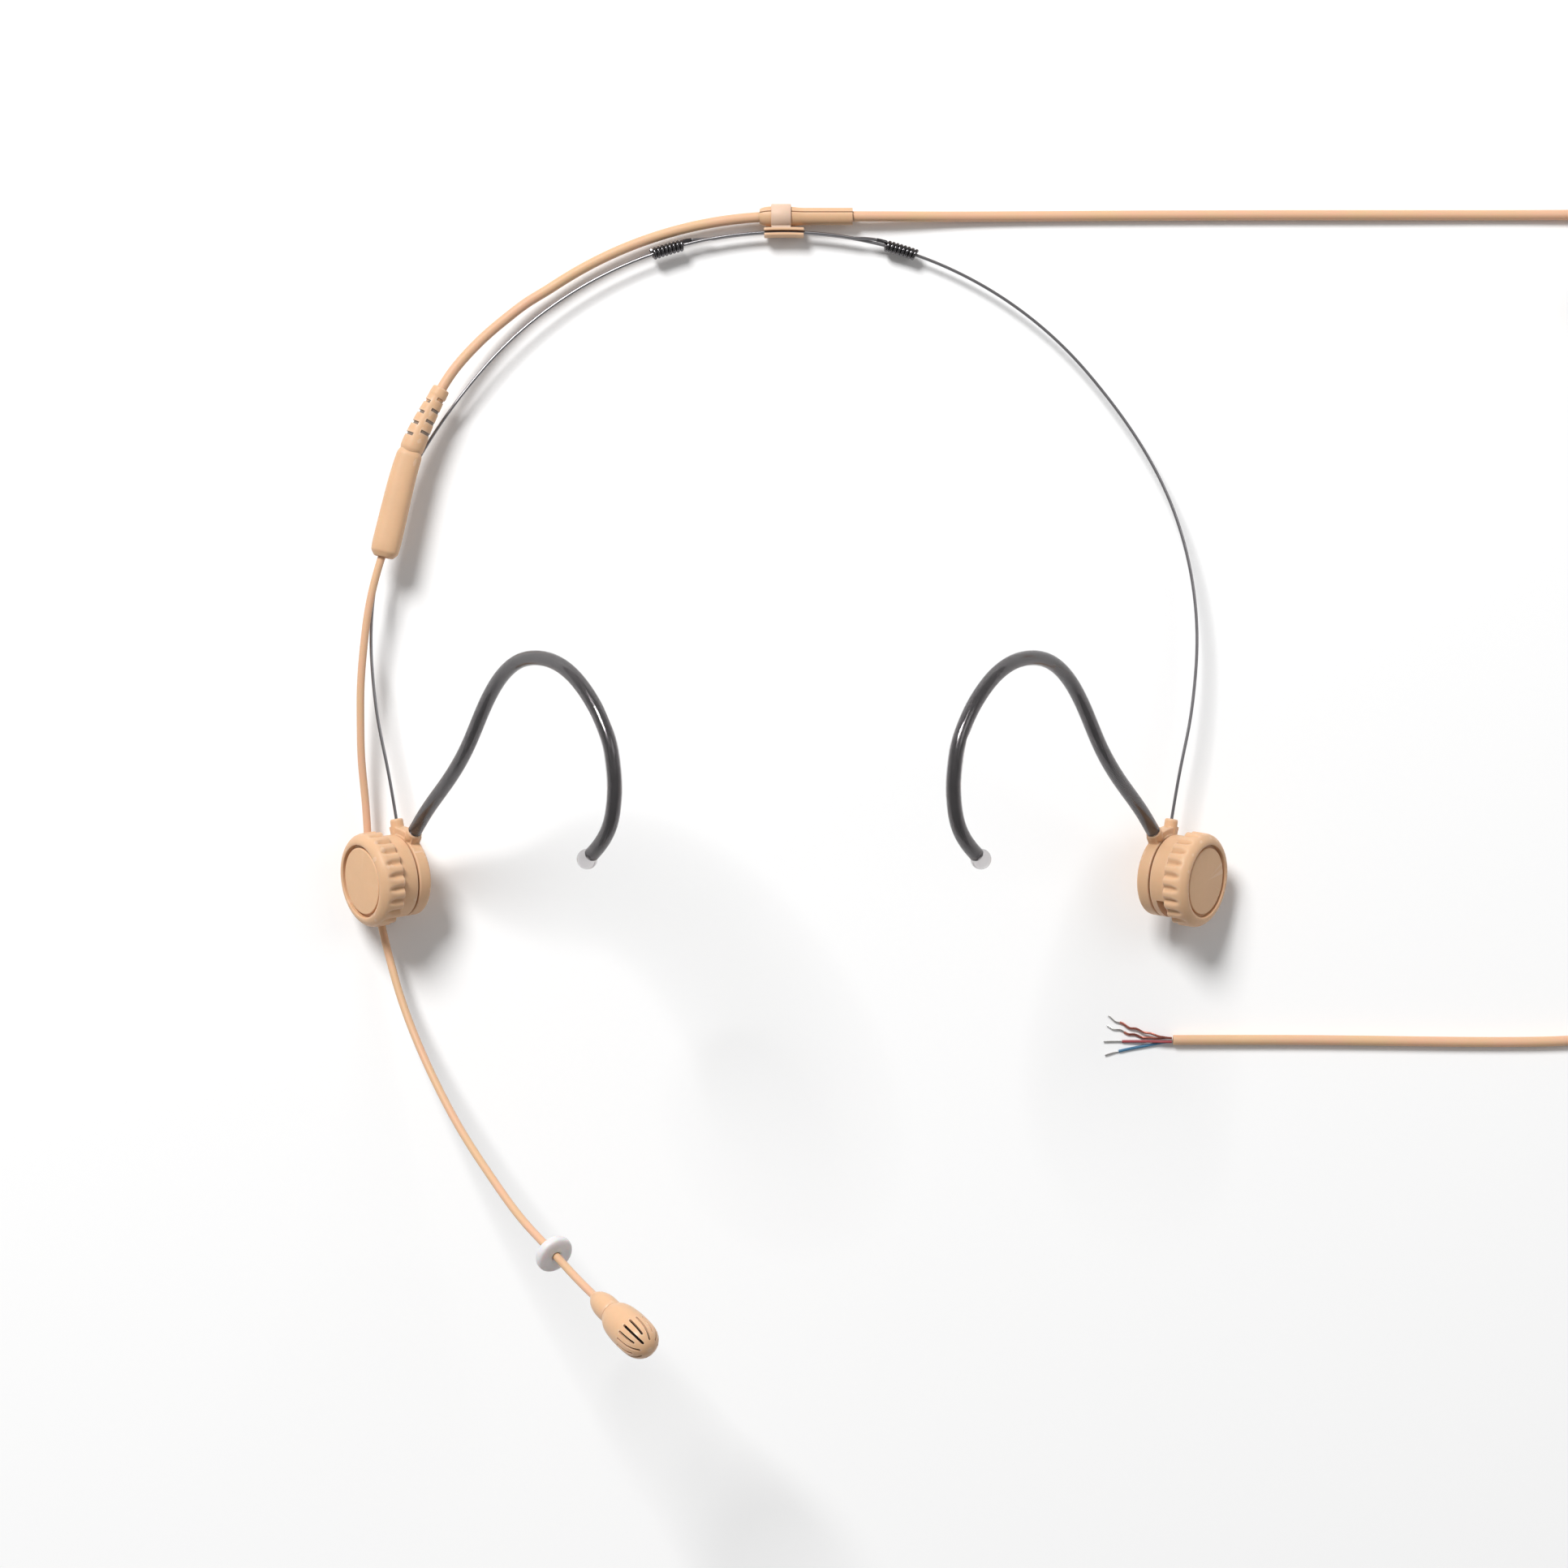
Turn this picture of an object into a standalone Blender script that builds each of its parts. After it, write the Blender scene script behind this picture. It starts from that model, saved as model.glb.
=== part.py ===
"""Headset microphone for the stage, lying with its neckband's clip and its two hubs on a flat surface.

Two spring wires make the neckband. Each carries a hub at its front end and ends behind the head in a coil that
grips the other wire, so the halves slide to fit the head. Each hub is an ear plate with an ear hook, a clamp ring
that holds a boom in its groove, and a thumb knob. The left hub carries the boom with the microphone capsule. Its
cable runs back through an inline joint and a clip on the neckband, and leaves as a free cord with bare leads.

Lengths in this file are in millimetres and are made into metres when an object is built.
+X is the wearer's right, +Y the back of the head and +Z up. The origin is under the middle of the headset.
"""

import math

import bmesh
import bpy
import numpy as np
from mathutils import Matrix, Vector

MM = 0.001
CLEAR = 0.1  # gap between pieces that fit in one another
FACE_GAP = 0.3  # gap between two ends that meet

# Neckband: a circle in a plane that rises a little towards the hubs
MIDDLE_Y = 3.945  # how far the band's own centre stands behind the middle of the headset
BAND_CENTRE = (0.0, 24.3 - MIDDLE_Y, 4.76)
BAND_TILT = math.radians(2.5)
BAND_RADIUS = 61.8
WIRE_DIAMETER = 0.5
WIRE_SPACING = 0.58  # between the middles of the two wires, and the coils' mean radius
BEND_START = 50.0  # degrees from the middle of the band, where the wires leave the circle
COIL_START, COIL_END, COIL_TURNS = 14.8, 19.4, 8  # degrees along the band, and turns
COIL_LEAD = 4.6  # degrees in which a wire swings from above its neighbour to beside it
TEMPLE_ROUTE = [(-59.7, 44.7, 3.88), (-63.1, 33.3, 4.4), (-64.1, 21.4, 4.92), (-63.7, 15.4, 5.17)]
TEMPLE_ROUTE += [(-62.9, 9.4, 5.4), (-61.7, 3.6, 5.62)]

# Hubs: built on their own axis, which leans outwards. x is up and inwards, y back, z out from the head
HUB_BASE = (-57.9, -13.85 - MIDDLE_Y, 5.0)
HUB_LEAN = math.radians(35.0)  # the axis above the horizontal
HUB_TOE = math.radians(9.0)  # the axis towards the front
PLATE_RADIUS, PLATE_THICK = 6.4, 2.1
RING_RADIUS, RING_FLOOR, RING_TOP = 6.4, 2.4, 5.0
KNOB_RADIUS, KNOB_FLOOR, KNOB_TOP = 7.3, 5.15, 9.0
GRIP_GROOVES, GRIP_DEPTH, GRIP_END = 22, 0.45, 7.8
CAP_RADIUS, CAP_POCKET = 5.3, 5.65
STUD_RADIUS = 1.4
BOSS_RADIUS, BOSS_END, BOSS_LEVEL = 0.95, 8.7, 1.05
SOCKET_RADIUS, HOOK_LEVEL = 1.22, 1.22
SOCKET_PLACE, SOCKET_ANGLE = (5.4, 6.3), math.radians(57.7)  # its mouth, and its axis from the back upwards
GROOVE_WIDTH, GROOVE_LEVEL, GROOVE_FLOOR = 1.3, 4.0, 4.1
BOOM_OFFSET = 4.9  # the boom passes this far below the hub's axis

# Ear hook: its centre line in the hub's own plane, as (back, up) from the socket to the tip
HOOK_ROUTE = [(8.9, 9.7), (13.1, 18.0), (17.6, 25.3), (22.5, 31.4), (26.9, 38.5), (28.3, 43.5), (28.2, 48.9)]
HOOK_ROUTE += [(26.8, 53.9), (24.6, 57.6), (22.1, 60.2), (19.4, 62.2), (16.6, 63.6), (13.9, 64.4)]
HOOK_ROUTE += [(11.2, 64.4), (8.4, 64.0), (5.7, 63.0), (3.1, 61.4), (0.75, 58.6), (-1.6, 53.6)]
HOOK_TUBE, HOOK_BORE, HOOK_CORE, HOOK_TIP = 2.2, 1.6, 1.4, 3.0  # diameters

# Boom: its centre line in the hub's plane, as (back, up), to the neck of the capsule
BOOM_DIAMETER = 1.2
BOOM_ROUTE = [(3.17, -4.9), (-3.0, -4.86), (-7.3, -4.6), (-13.7, -3.5), (-17.7, -2.5), (-25.6, 0.7)]
BOOM_ROUTE += [(-33.1, 5.05), (-40.3, 10.4), (-47.1, 16.9), (-53.55, 24.05), (-58.98, 32.2)]
BOOM_ROUTE += [(-61.95, 36.6), (-65.1, 41.8)]
GUARD_BACK = 12.0  # the sweat guard's place, back along the boom from the capsule's neck
GUARD_DIAMETER, GUARD_THICK = 5.9, 1.6
CAP_PROFILE = [(4.25, 1.85), (4.9, 2.25), (5.6, 2.52), (6.6, 2.73), (8.2, 2.9), (9.8, 2.91), (11.2, 2.83)]
CAP_PROFILE += [(12.2, 2.72), (13.0, 2.42), (13.6, 1.95), (14.05, 1.25), (14.25, 0.6), (14.3, 0)]
CAP_WALL = 0.5
SLOTS, SLOT_WIDTH = 16, 0.3
LONG_SLOT, SHORT_SLOT = (9.9, 13.9), (9.85, 13.1)  # from and to, along the capsule

# Cables
THIN_CABLE, MAIN_CABLE = 1.2, 1.6  # diameters
MAIN_RADIUS = 64.3  # of the main cable's run along the band
MAIN_JOIN = 34.3  # degrees from the middle of the band, where that run starts
MAIN_END_X = 3.0  # the main cable ends inside the sleeve
THIN_ROUTE = [(-64.7, -9.95, 3.52), (-65.1, -2.4, 4.0), (-65.6, 3.6, 4.6), (-65.7, 9.5, 5.2), (-65.6, 15.5, 5.7)]
THIN_ROUTE += [(-65.1, 21.4, 6.05), (-64.3, 27.3, 6.3), (-62.9, 33.2, 6.35)]
JOINT_START, JOINT_END, RELIEF_END = (-62.05, 35.1, 6.38), (-57.8, 51.7, 5.72), (-53.1, 61.4, 5.2)
MAIN_ROUTE = [(-51.4, 64.1, 4.85), (-48.7, 67.35, 4.25), (-45.9, 70.2, 3.6), (-42.8, 72.85, 3.05)]
MAIN_ROUTE += [(-39.7, 75.25, 2.7)]

# Clip on the neckband
SLEEVE_FROM, SLEEVE_WAIST, SLEEVE_TO = -3.8, 2.4, 10.7
SLEEVE_WIDE, SLEEVE_NARROW, SLEEVE_BORE, SLEEVE_SLIT = 1.58, 1.34, 1.08, 0.16
LOOP_FROM, LOOP_TO, LOOP_OUTER, LOOP_MOUTH = -2.0, 1.1, 1.94, math.radians(62.0)
CHANNEL_LENGTH, CHANNEL_WALL, CHANNEL_FLOOR = 6.2, 0.38, 0.45
CHANNEL_LIP_WIDTH, CHANNEL_LIP_DEPTH = 0.36, 0.5

# Free cord, lying on the surface
CORD_DIAMETER = 1.6
CORD_START_X = 7.0
CORD_OUT_ROUTE = [(11.5, 88.54, 1.97), (18.0, 88.56, 1.75), (26.0, 88.62, 1.2), (36.0, 88.7, 0.88)]
CORD_OUT_ROUTE += [(50.0, 88.8, 0.84), (70.0, 88.88, 0.84), (95.0, 88.9, 0.84), (120.0, 88.9, 0.84)]
CORD_OUT_END = (132.6, 88.9, 0.84)
COIL_CENTRE, COIL_INNER, COIL_OUTER, COIL_HEIGHT = (140.0, 76.0), 5.7, 13.75, 6.5
CORD_BACK_START = (152.85, 68.7, 5.0)
CORD_BACK_ROUTE = [(152.6, 62.0, 3.4), (152.2, 54.0, 1.6), (151.6, 44.0, 0.88), (150.6, 28.0, 0.84)]
CORD_BACK_ROUTE += [(149.8, 8.0, 0.84), (149.2, -10.0, 0.84), (147.4, -24.0, 0.84), (141.0, -34.5, 0.84)]
CORD_BACK_ROUTE += [(130.0, -39.2, 0.84), (116.0, -40.3, 0.84), (98.0, -40.2, 0.84), (80.0, -40.0, 0.84)]
CORD_BACK_END = (60.8, -40.0, 0.84)
TIE_WIDTH, TIE_THICK = 3.0, 0.4
LEAD_DIAMETER = 0.46
LEADS = {  # where each bare-ended lead goes from the cable's end, and its finish
    "lead_screen_upper": ([(57.6, -39.15, 0.85), (52.9, -37.55, 0.35), (50.7, -36.4, 0.27)], "copper"),
    "lead_screen_lower": ([(57.0, -39.73, 0.35), (53.2, -38.8, 0.27), (50.5, -37.9, 0.27)], "copper"),
    "lead_red": ([(57.0, -40.24, 0.75), (52.7, -40.27, 0.3), (50.0, -40.3, 0.27)], "red_insulation"),
    "lead_blue": ([(57.5, -40.75, 0.38), (52.4, -41.8, 0.27), (50.2, -42.45, 0.27)], "blue_insulation"),
}

FINISHES = {  # colour, roughness, metallic
    "tan_plastic": ((0.76, 0.51, 0.33), 0.5, 0.0),
    "cap_plastic": ((0.70, 0.44, 0.27), 0.45, 0.0),
    "clip_plastic": ((0.78, 0.55, 0.41), 0.55, 0.0),
    "cable_jacket": ((0.77, 0.53, 0.35), 0.55, 0.0),
    "spring_steel": ((0.42, 0.41, 0.42), 0.3, 1.0),
    "turned_steel": ((0.6, 0.6, 0.6), 0.25, 1.0),
    "brass": ((0.72, 0.52, 0.22), 0.3, 1.0),
    "nylon": ((0.85, 0.82, 0.76), 0.5, 0.0),
    "clear_tube": ((0.62, 0.62, 0.64), 0.15, 0.0),
    "white_silicone": ((0.82, 0.81, 0.82), 0.4, 0.0),
    "dark_mesh": ((0.03, 0.02, 0.015), 0.8, 0.0),
    "copper": ((0.75, 0.25, 0.14), 0.3, 1.0),
    "red_insulation": ((0.65, 0.05, 0.04), 0.4, 0.0),
    "blue_insulation": ((0.04, 0.11, 0.5), 0.4, 0.0),
}

LEFT, RIGHT = -1, 1
empties = {}


def clear_scene():
    for obj in list(bpy.data.objects):
        bpy.data.objects.remove(obj, do_unlink=True)


def finish_material(name):
    """The Principled material of one finish, made once."""
    if name in bpy.data.materials:
        return bpy.data.materials[name]
    colour, roughness, metallic = FINISHES[name]
    material = bpy.data.materials.new(name)
    material.use_nodes = True
    shader = material.node_tree.nodes["Principled BSDF"]
    shader.inputs["Base Color"].default_value = (*colour, 1.0)
    shader.inputs["Roughness"].default_value = roughness
    shader.inputs["Metallic"].default_value = metallic
    return material


def frame(x_axis, y_axis, z_axis, origin):
    """A placement matrix from three unit axes and an origin in millimetres."""
    matrix = Matrix((x_axis, y_axis, z_axis)).transposed().to_4x4()
    matrix.translation = Vector(origin) * MM
    return matrix


WORLD = frame((1, 0, 0), (0, 1, 0), (0, 0, 1), (0, 0, 0))


def band_frame():
    """x to the right, y to the back of the band and z along the axis that its halves slide about."""
    c, s = math.cos(BAND_TILT), math.sin(BAND_TILT)
    return frame((1, 0, 0), (0, c, -s), (0, s, c), BAND_CENTRE)


def hub_frame(side):
    """A hub's own axes. On the right the x axis is turned over, and pieces are mirrored in x to suit."""
    lean_c, lean_s = math.cos(HUB_LEAN), math.sin(HUB_LEAN)
    toe_c, toe_s = math.cos(HUB_TOE), math.sin(HUB_TOE)
    out = Vector((side * lean_c * toe_c, -lean_c * toe_s, lean_s))
    back = Vector((side * toe_s, toe_c, 0.0))
    up = back.cross(out)
    base = (-side * HUB_BASE[0], HUB_BASE[1], HUB_BASE[2])
    return frame(up, back, out, base)


def pivot(name, matrix, parent=None):
    """An empty on the axis of a joint, which the pieces of that body hang from."""
    empty = bpy.data.objects.new(f"{name}_axis", None)
    empty.empty_display_size = 5 * MM
    bpy.context.scene.collection.objects.link(empty)
    empty.parent = empties.get(parent)
    basis = empty.parent["place"] if empty.parent else None
    parent_matrix = Matrix(basis) if basis else Matrix.Identity(4)
    empty.matrix_basis = parent_matrix.inverted() @ matrix
    empty["place"] = [list(row) for row in matrix]
    empties[name] = empty


def place(obj, body, matrix, finish):
    """Links an object, hangs it from its body's empty with its own axes at `matrix`, and gives it its finish."""
    bpy.context.scene.collection.objects.link(obj)
    obj.parent = empties[body]
    obj.matrix_basis = Matrix(empties[body]["place"]).inverted() @ matrix
    obj.data.materials.append(finish_material(finish))
    return obj


def add_mesh(name, bm, body, matrix, finish, side=LEFT):
    """Makes an object from a mesh in millimetres. Meshes are drawn for the left, and turned over for the right."""
    if side == RIGHT:
        for vert in bm.verts:
            vert.co.x *= -1
    for vert in bm.verts:
        vert.co *= MM
    bmesh.ops.recalc_face_normals(bm, faces=bm.faces)
    mesh = bpy.data.meshes.new(name)
    bm.to_mesh(mesh)
    bm.free()
    mesh.shade_smooth()
    mesh.set_sharp_from_angle(angle=math.radians(35))
    return place(bpy.data.objects.new(name, mesh), body, matrix, finish)


def skin(rings, closed=False, bm=None):
    """Faces between rings of points, each a list of one or of n points. An open skin gets a face at each end."""
    bm = bm or bmesh.new()
    loops = [[bm.verts.new(point) for point in ring] for ring in rings]
    pairs = list(zip(loops, loops[1:]))
    if closed:
        pairs.append((loops[-1], loops[0]))
    for one, two in pairs:
        count = max(len(one), len(two))
        for i in range(count):
            j = (i + 1) % count
            corners = [one[i % len(one)], one[j % len(one)], two[j % len(two)], two[i % len(two)]]
            bm.faces.new(list(dict.fromkeys(corners)))
    if not closed:
        for end in (loops[0], loops[-1]):
            if len(end) > 2:
                bm.faces.new(end)
    return bm


def turned(profile, sides=32, closed=False):
    """A body turned about z from a profile of (height, radius). A radius may be a function of the angle."""
    rings = []
    for height, radius in profile:
        if radius == 0:
            rings.append([(0, 0, height)])
            continue
        angles = [2 * math.pi * i / sides for i in range(sides)]
        reach = [radius(a) if callable(radius) else radius for a in angles]
        rings.append([(r * math.cos(a), r * math.sin(a), height) for a, r in zip(angles, reach)])
    return skin(rings, closed)


def smooth(points, spacing, slope_in=None, slope_out=None):
    """Points about `spacing` apart on the cubic spline through `points`, with given end directions if any."""
    p = np.array([tuple(q) for q in points], dtype=float)
    h = np.linalg.norm(np.diff(p, axis=0), axis=1)
    count = len(p)
    left, right = np.zeros((count, count)), np.zeros((count, 3))
    left[0, 0] = left[-1, -1] = 1.0
    for i in range(1, count - 1):
        left[i, i - 1 : i + 2] = h[i - 1], 2 * (h[i - 1] + h[i]), h[i]
        right[i] = 6 * ((p[i + 1] - p[i]) / h[i] - (p[i] - p[i - 1]) / h[i - 1])
    if slope_in is not None:
        left[0, :2] = 2 * h[0], h[0]
        right[0] = 6 * ((p[1] - p[0]) / h[0] - np.array(slope_in))
    if slope_out is not None:
        left[-1, -2:] = h[-1], 2 * h[-1]
        right[-1] = 6 * (np.array(slope_out) - (p[-1] - p[-2]) / h[-1])
    bend = np.linalg.solve(left, right)
    fine = []
    for i in range(count - 1):
        for t in np.linspace(0, 1, 24, endpoint=False):
            a, b = (1 - t) * h[i], t * h[i]
            curve = (bend[i] * a**3 + bend[i + 1] * b**3) / (6 * h[i])
            fine.append(curve + (p[i] / h[i] - bend[i] * h[i] / 6) * a + (p[i + 1] / h[i] - bend[i + 1] * h[i] / 6) * b)
    return evenly(fine + [p[-1]], spacing)


def evenly(points, spacing):
    """The same line, with points an even distance apart."""
    p = np.array([tuple(q) for q in points], dtype=float)
    run = np.concatenate([[0], np.cumsum(np.linalg.norm(np.diff(p, axis=0), axis=1))])
    stops = np.linspace(0, run[-1], max(2, round(run[-1] / spacing) + 1))
    return [tuple(np.interp(s, run, p[:, k]) for k in range(3)) for s in stops]


class Path:
    """A line with a steady set of cross axes, for building bodies along it."""

    def __init__(self, points, across=(0, 0, 1)):
        self.points = np.array(points, dtype=float)
        steps = np.diff(self.points, axis=0)
        self.run = np.concatenate([[0], np.cumsum(np.linalg.norm(steps, axis=1))])
        self.length = self.run[-1]
        ahead = steps / np.linalg.norm(steps, axis=1)[:, None]
        self.tangents = np.vstack([ahead[:1], ahead[:-1] + ahead[1:], ahead[-1:]])
        self.tangents /= np.linalg.norm(self.tangents, axis=1)[:, None]
        normals, last = [], np.array(across, dtype=float)
        for tangent in self.tangents:
            last = last - tangent * last.dot(tangent)
            last = last / np.linalg.norm(last)
            normals.append(last)
        self.normals = np.array(normals)

    def at(self, distance):
        """The point and the tangent at a distance along the line, which runs on straight past its ends."""
        inside = min(max(distance, 0.0), self.length)
        point, tangent, normal = (
            np.array([np.interp(inside, self.run, values[:, k]) for k in range(3)])
            for values in (self.points, self.tangents, self.normals)
        )
        tangent /= np.linalg.norm(tangent)
        normal = normal - tangent * normal.dot(tangent)
        normal /= np.linalg.norm(normal)
        return point + tangent * (distance - inside), tangent, normal, np.cross(tangent, normal)

    def ring(self, distance, radius, sides, flatness=1.0):
        """A ring of points round the line. A flatness under 1 squeezes it along the path's own normal."""
        point, _, normal, side = self.at(distance)
        if radius == 0:
            return [tuple(point)]
        turns = [2 * math.pi * i / sides for i in range(sides)]
        return [
            tuple(point + radius * (flatness * math.cos(a) * normal + math.sin(a) * side)) for a in turns
        ]

    def body(self, profile, sides=8, closed=False, flatness=1.0):
        """A body round the line from a profile of (distance, radius)."""
        return skin([self.ring(d, r, sides, flatness) for d, r in profile], closed)


def tube(name, points, diameter, body, matrix, finish, side=LEFT):
    """A round wire or cable as a bevelled poly curve through points in millimetres, with closed ends."""
    curve = bpy.data.curves.new(name, "CURVE")
    curve.dimensions = "3D"
    curve.bevel_depth = diameter / 2 * MM
    curve.bevel_resolution = 2
    curve.use_fill_caps = True
    spline = curve.splines.new("POLY")
    spline.points.add(len(points) - 1)
    for target, (x, y, z) in zip(spline.points, points):
        target.co = (-x * MM if side == RIGHT else x * MM, y * MM, z * MM, 1.0)
    return place(bpy.data.objects.new(name, curve), body, matrix, finish)


def combine(obj, other, operation):
    """Joins `other` to an object or cuts it away. The other is kept as a hidden guide."""
    modifier = obj.modifiers.new(other.name, "BOOLEAN")
    modifier.object = other
    modifier.operation = operation
    modifier.solver = "EXACT"
    other.hide_render = True
    other.display_type = "WIRE"


def box(low, high):
    """A plain block between two corners."""
    xs, ys, zs = zip(low, high)
    return skin([[(xs[i], ys[j], z) for i, j in ((0, 0), (1, 0), (1, 1), (0, 1))] for z in zs])


def rod(start, direction, length, radius, sides=16):
    """A plain cylinder from a start point along a direction."""
    direction = np.array(direction, dtype=float) / np.linalg.norm(direction)
    line = Path([start, np.array(start) + direction * length], across=(0.3, 0.2, 0.9))
    return line.body([(0, radius), (length, radius)], sides)


# ---- neckband -------------------------------------------------------------------------------------------------


def on_band(degrees, radius=BAND_RADIUS, level=0.0):
    """A point of the band's circle, in the band's frame. Degrees run from the middle to the wearer's left."""
    angle = math.radians(degrees)
    return (-radius * math.sin(angle), radius * math.cos(angle), level)


def wire_points(level):
    """One spring wire, from its hub on the left to the coil past the middle that grips the other wire."""
    to_band = band_frame().inverted()
    hub = hub_frame(LEFT)
    route = [on_band(BEND_START, level=level)]
    for x, y, z in TEMPLE_ROUTE:
        route.append(tuple(to_band @ (Vector((x, y - MIDDLE_Y, z)) * MM) / MM))
    for reach in (BOSS_END, BOSS_END - 3.0):
        route.append(tuple(to_band @ (hub @ (Vector((0, reach, BOSS_LEVEL)) * MM)) / MM))
    angle = math.radians(BEND_START)
    temple = smooth(route, 5.5, slope_in=(-math.cos(angle), -math.sin(angle), 0))
    points = list(reversed(temple))
    lead_start = -(COIL_START - COIL_LEAD)
    stations = np.linspace(BEND_START, lead_start, 18)[1:]
    points += [on_band(d, level=level) for d in stations]
    other = -level
    first = math.copysign(math.pi / 2, level)

    def beside(degrees, turn):
        return on_band(
            degrees, BAND_RADIUS + WIRE_SPACING * math.cos(turn), other + WIRE_SPACING * math.sin(turn)
        )

    for t in np.linspace(0, 1, 6)[1:]:
        points.append(beside(lead_start - t * COIL_LEAD, first * (1 - t)))
    steps = COIL_TURNS * 8
    for i in range(1, steps + 1):
        degrees = -COIL_START - (COIL_END - COIL_START) * i / steps
        points.append(beside(degrees, -first * 4 * COIL_TURNS * i / steps))
    return points


def neckband():
    for side, body, level in ((LEFT, "left_band", 0.5), (RIGHT, "right_band", -0.5)):
        line = Path(wire_points(level * WIRE_SPACING))
        name = ("left" if side == LEFT else "right") + "_band_wire"
        radius = WIRE_DIAMETER / 2
        bm = line.body([(d, radius) for d in line.run], sides=5)
        add_mesh(name, bm, body, band_frame(), "spring_steel", side)


# ---- hubs -----------------------------------------------------------------------------------------------------


def ear_plate(name, body, matrix, side):
    """The plate against the head, with the boss that holds the band wire and the socket of the ear hook."""
    edge = 0.45
    pocket = 2.3
    profile = [(0, 0), (0, PLATE_RADIUS - edge), (edge, PLATE_RADIUS), (PLATE_THICK - 0.2, PLATE_RADIUS)]
    profile += [(PLATE_THICK, PLATE_RADIUS - 0.2), (PLATE_THICK, pocket), (0.9, pocket), (0.9, 0)]
    plate = add_mesh(name, turned(profile, 28), body, matrix, "tan_plastic", side)
    boss_tip = [(0, BOSS_RADIUS), (BOSS_END - 4.3, BOSS_RADIUS), (BOSS_END - 4.0, BOSS_RADIUS - 0.25)]
    boss_line = Path([(0, 4.0, BOSS_LEVEL), (0, BOSS_END, BOSS_LEVEL)])
    along = (math.sin(SOCKET_ANGLE), math.cos(SOCKET_ANGLE), 0)
    mouth = np.array((*SOCKET_PLACE, HOOK_LEVEL))
    inner = mouth - 3.4 * np.array(along)
    web_angles = [math.radians(a) for a in (-8, 6, 20, 34, 46)]
    web = [
        [(r * math.sin(a), r * math.cos(a), z) for r, z in ((5.0, 0.5), (7.25, 0.5), (7.25, 1.75), (5.0, 1.75))]
        for a in web_angles
    ]
    low_mouth = (mouth[0], mouth[1], 1.05)
    joined = {
        "boss": boss_line.body(boss_tip, 16),
        "web": skin(web),
        "socket_root": rod((inner[0], inner[1], 1.05), along, 2.6, 0.85),
        "socket": rod(np.array(low_mouth) - 1.6 * np.array(along) + (0, 0, 0.17), along, 1.6, SOCKET_RADIUS),
    }
    for part, bm in joined.items():
        combine(plate, add_mesh(f"{name}_{part}", bm, body, matrix, "tan_plastic", side), "UNION")
    bored = {
        "wire_bore": rod((0, 5.2, BOSS_LEVEL), (0, 1, 0), 5.0, WIRE_DIAMETER / 2 + 0.07, 12),
        "core_bore": rod(mouth - 2.6 * np.array(along), along, 4.0, HOOK_CORE / 2 + 0.07, 12),
    }
    for part, bm in bored.items():
        combine(plate, add_mesh(f"{name}_{part}", bm, body, matrix, "tan_plastic", side), "DIFFERENCE")


def clamp_ring(name, body, matrix, side):
    """The middle ring. Its groove opens to the side: downwards on the left, forwards on the right."""
    bore = STUD_RADIUS + 0.2
    profile = [(RING_FLOOR, bore), (RING_FLOOR, RING_RADIUS), (RING_TOP - 0.15, RING_RADIUS)]
    profile += [(RING_TOP, RING_RADIUS - 0.15), (RING_TOP, bore)]
    ring = add_mesh(name, turned(profile, 28, closed=True), body, matrix, "tan_plastic", side)
    low, high = GROOVE_LEVEL - GROOVE_WIDTH / 2, GROOVE_LEVEL + GROOVE_WIDTH / 2
    reach = RING_RADIUS + 2
    if side == LEFT:
        cutter = box((-reach, -reach, low), (-GROOVE_FLOOR, reach, high))
    else:
        cutter = box((-reach, -reach, low), (reach, -GROOVE_FLOOR, high))
    combine(ring, add_mesh(f"{name}_groove", cutter, body, matrix, "tan_plastic", side), "DIFFERENCE")


def grip(radius):
    """A radius that dips between the ribs of the knob."""
    return lambda angle: radius - GRIP_DEPTH * (0.5 + 0.5 * math.cos(GRIP_GROOVES * angle)) ** 2


def knob(prefix, body, matrix, side):
    """The thumb knob, open below for its threaded insert and washer, with a disc let into its face."""
    sides = GRIP_GROOVES * 2
    under, insert_pocket, washer_pocket = 7.75, 2.75, 4.9
    profile = [(KNOB_FLOOR, washer_pocket), (KNOB_FLOOR, grip(KNOB_RADIUS - 0.25))]
    profile += [(KNOB_FLOOR + 0.25, grip(KNOB_RADIUS)), (GRIP_END - 0.5, grip(KNOB_RADIUS))]
    profile += [(GRIP_END, KNOB_RADIUS), (8.1, KNOB_RADIUS - 0.12), (8.55, KNOB_RADIUS - 0.5)]
    profile += [(8.88, KNOB_RADIUS - 1.05), (KNOB_TOP, CAP_POCKET + 0.2), (KNOB_TOP - 0.1, CAP_POCKET)]
    profile += [(8.15, CAP_POCKET), (8.15, 0), (under, 0), (under, insert_pocket)]
    profile += [(KNOB_FLOOR + 0.4, insert_pocket), (KNOB_FLOOR + 0.4, washer_pocket)]
    bm = turned_with_poles(profile, sides)
    add_mesh(f"{prefix}_knob", bm, body, matrix, "tan_plastic", side)
    insert = [(5.65, STUD_RADIUS + 0.12), (5.65, 2.65), (7.65, 2.65), (7.65, STUD_RADIUS + 0.12)]
    add_mesh(f"{prefix}_knob_insert", turned(insert, 16, True), body, matrix, "brass", side)
    cap = [(8.25, 0), (8.25, CAP_RADIUS), (8.75, CAP_RADIUS), (8.92, CAP_RADIUS - 0.2), (8.97, 0)]
    add_mesh(f"{prefix}_knob_cap", turned(cap, 28), body, matrix, "cap_plastic", side)


def turned_with_poles(profile, sides):
    """A turned body whose profile touches the axis twice, on the two faces of its floor."""
    poles = [i for i, (_, radius) in enumerate(profile) if radius == 0]
    start = poles[1]
    return turned(profile[start:] + profile[: poles[0] + 1], sides)


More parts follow.
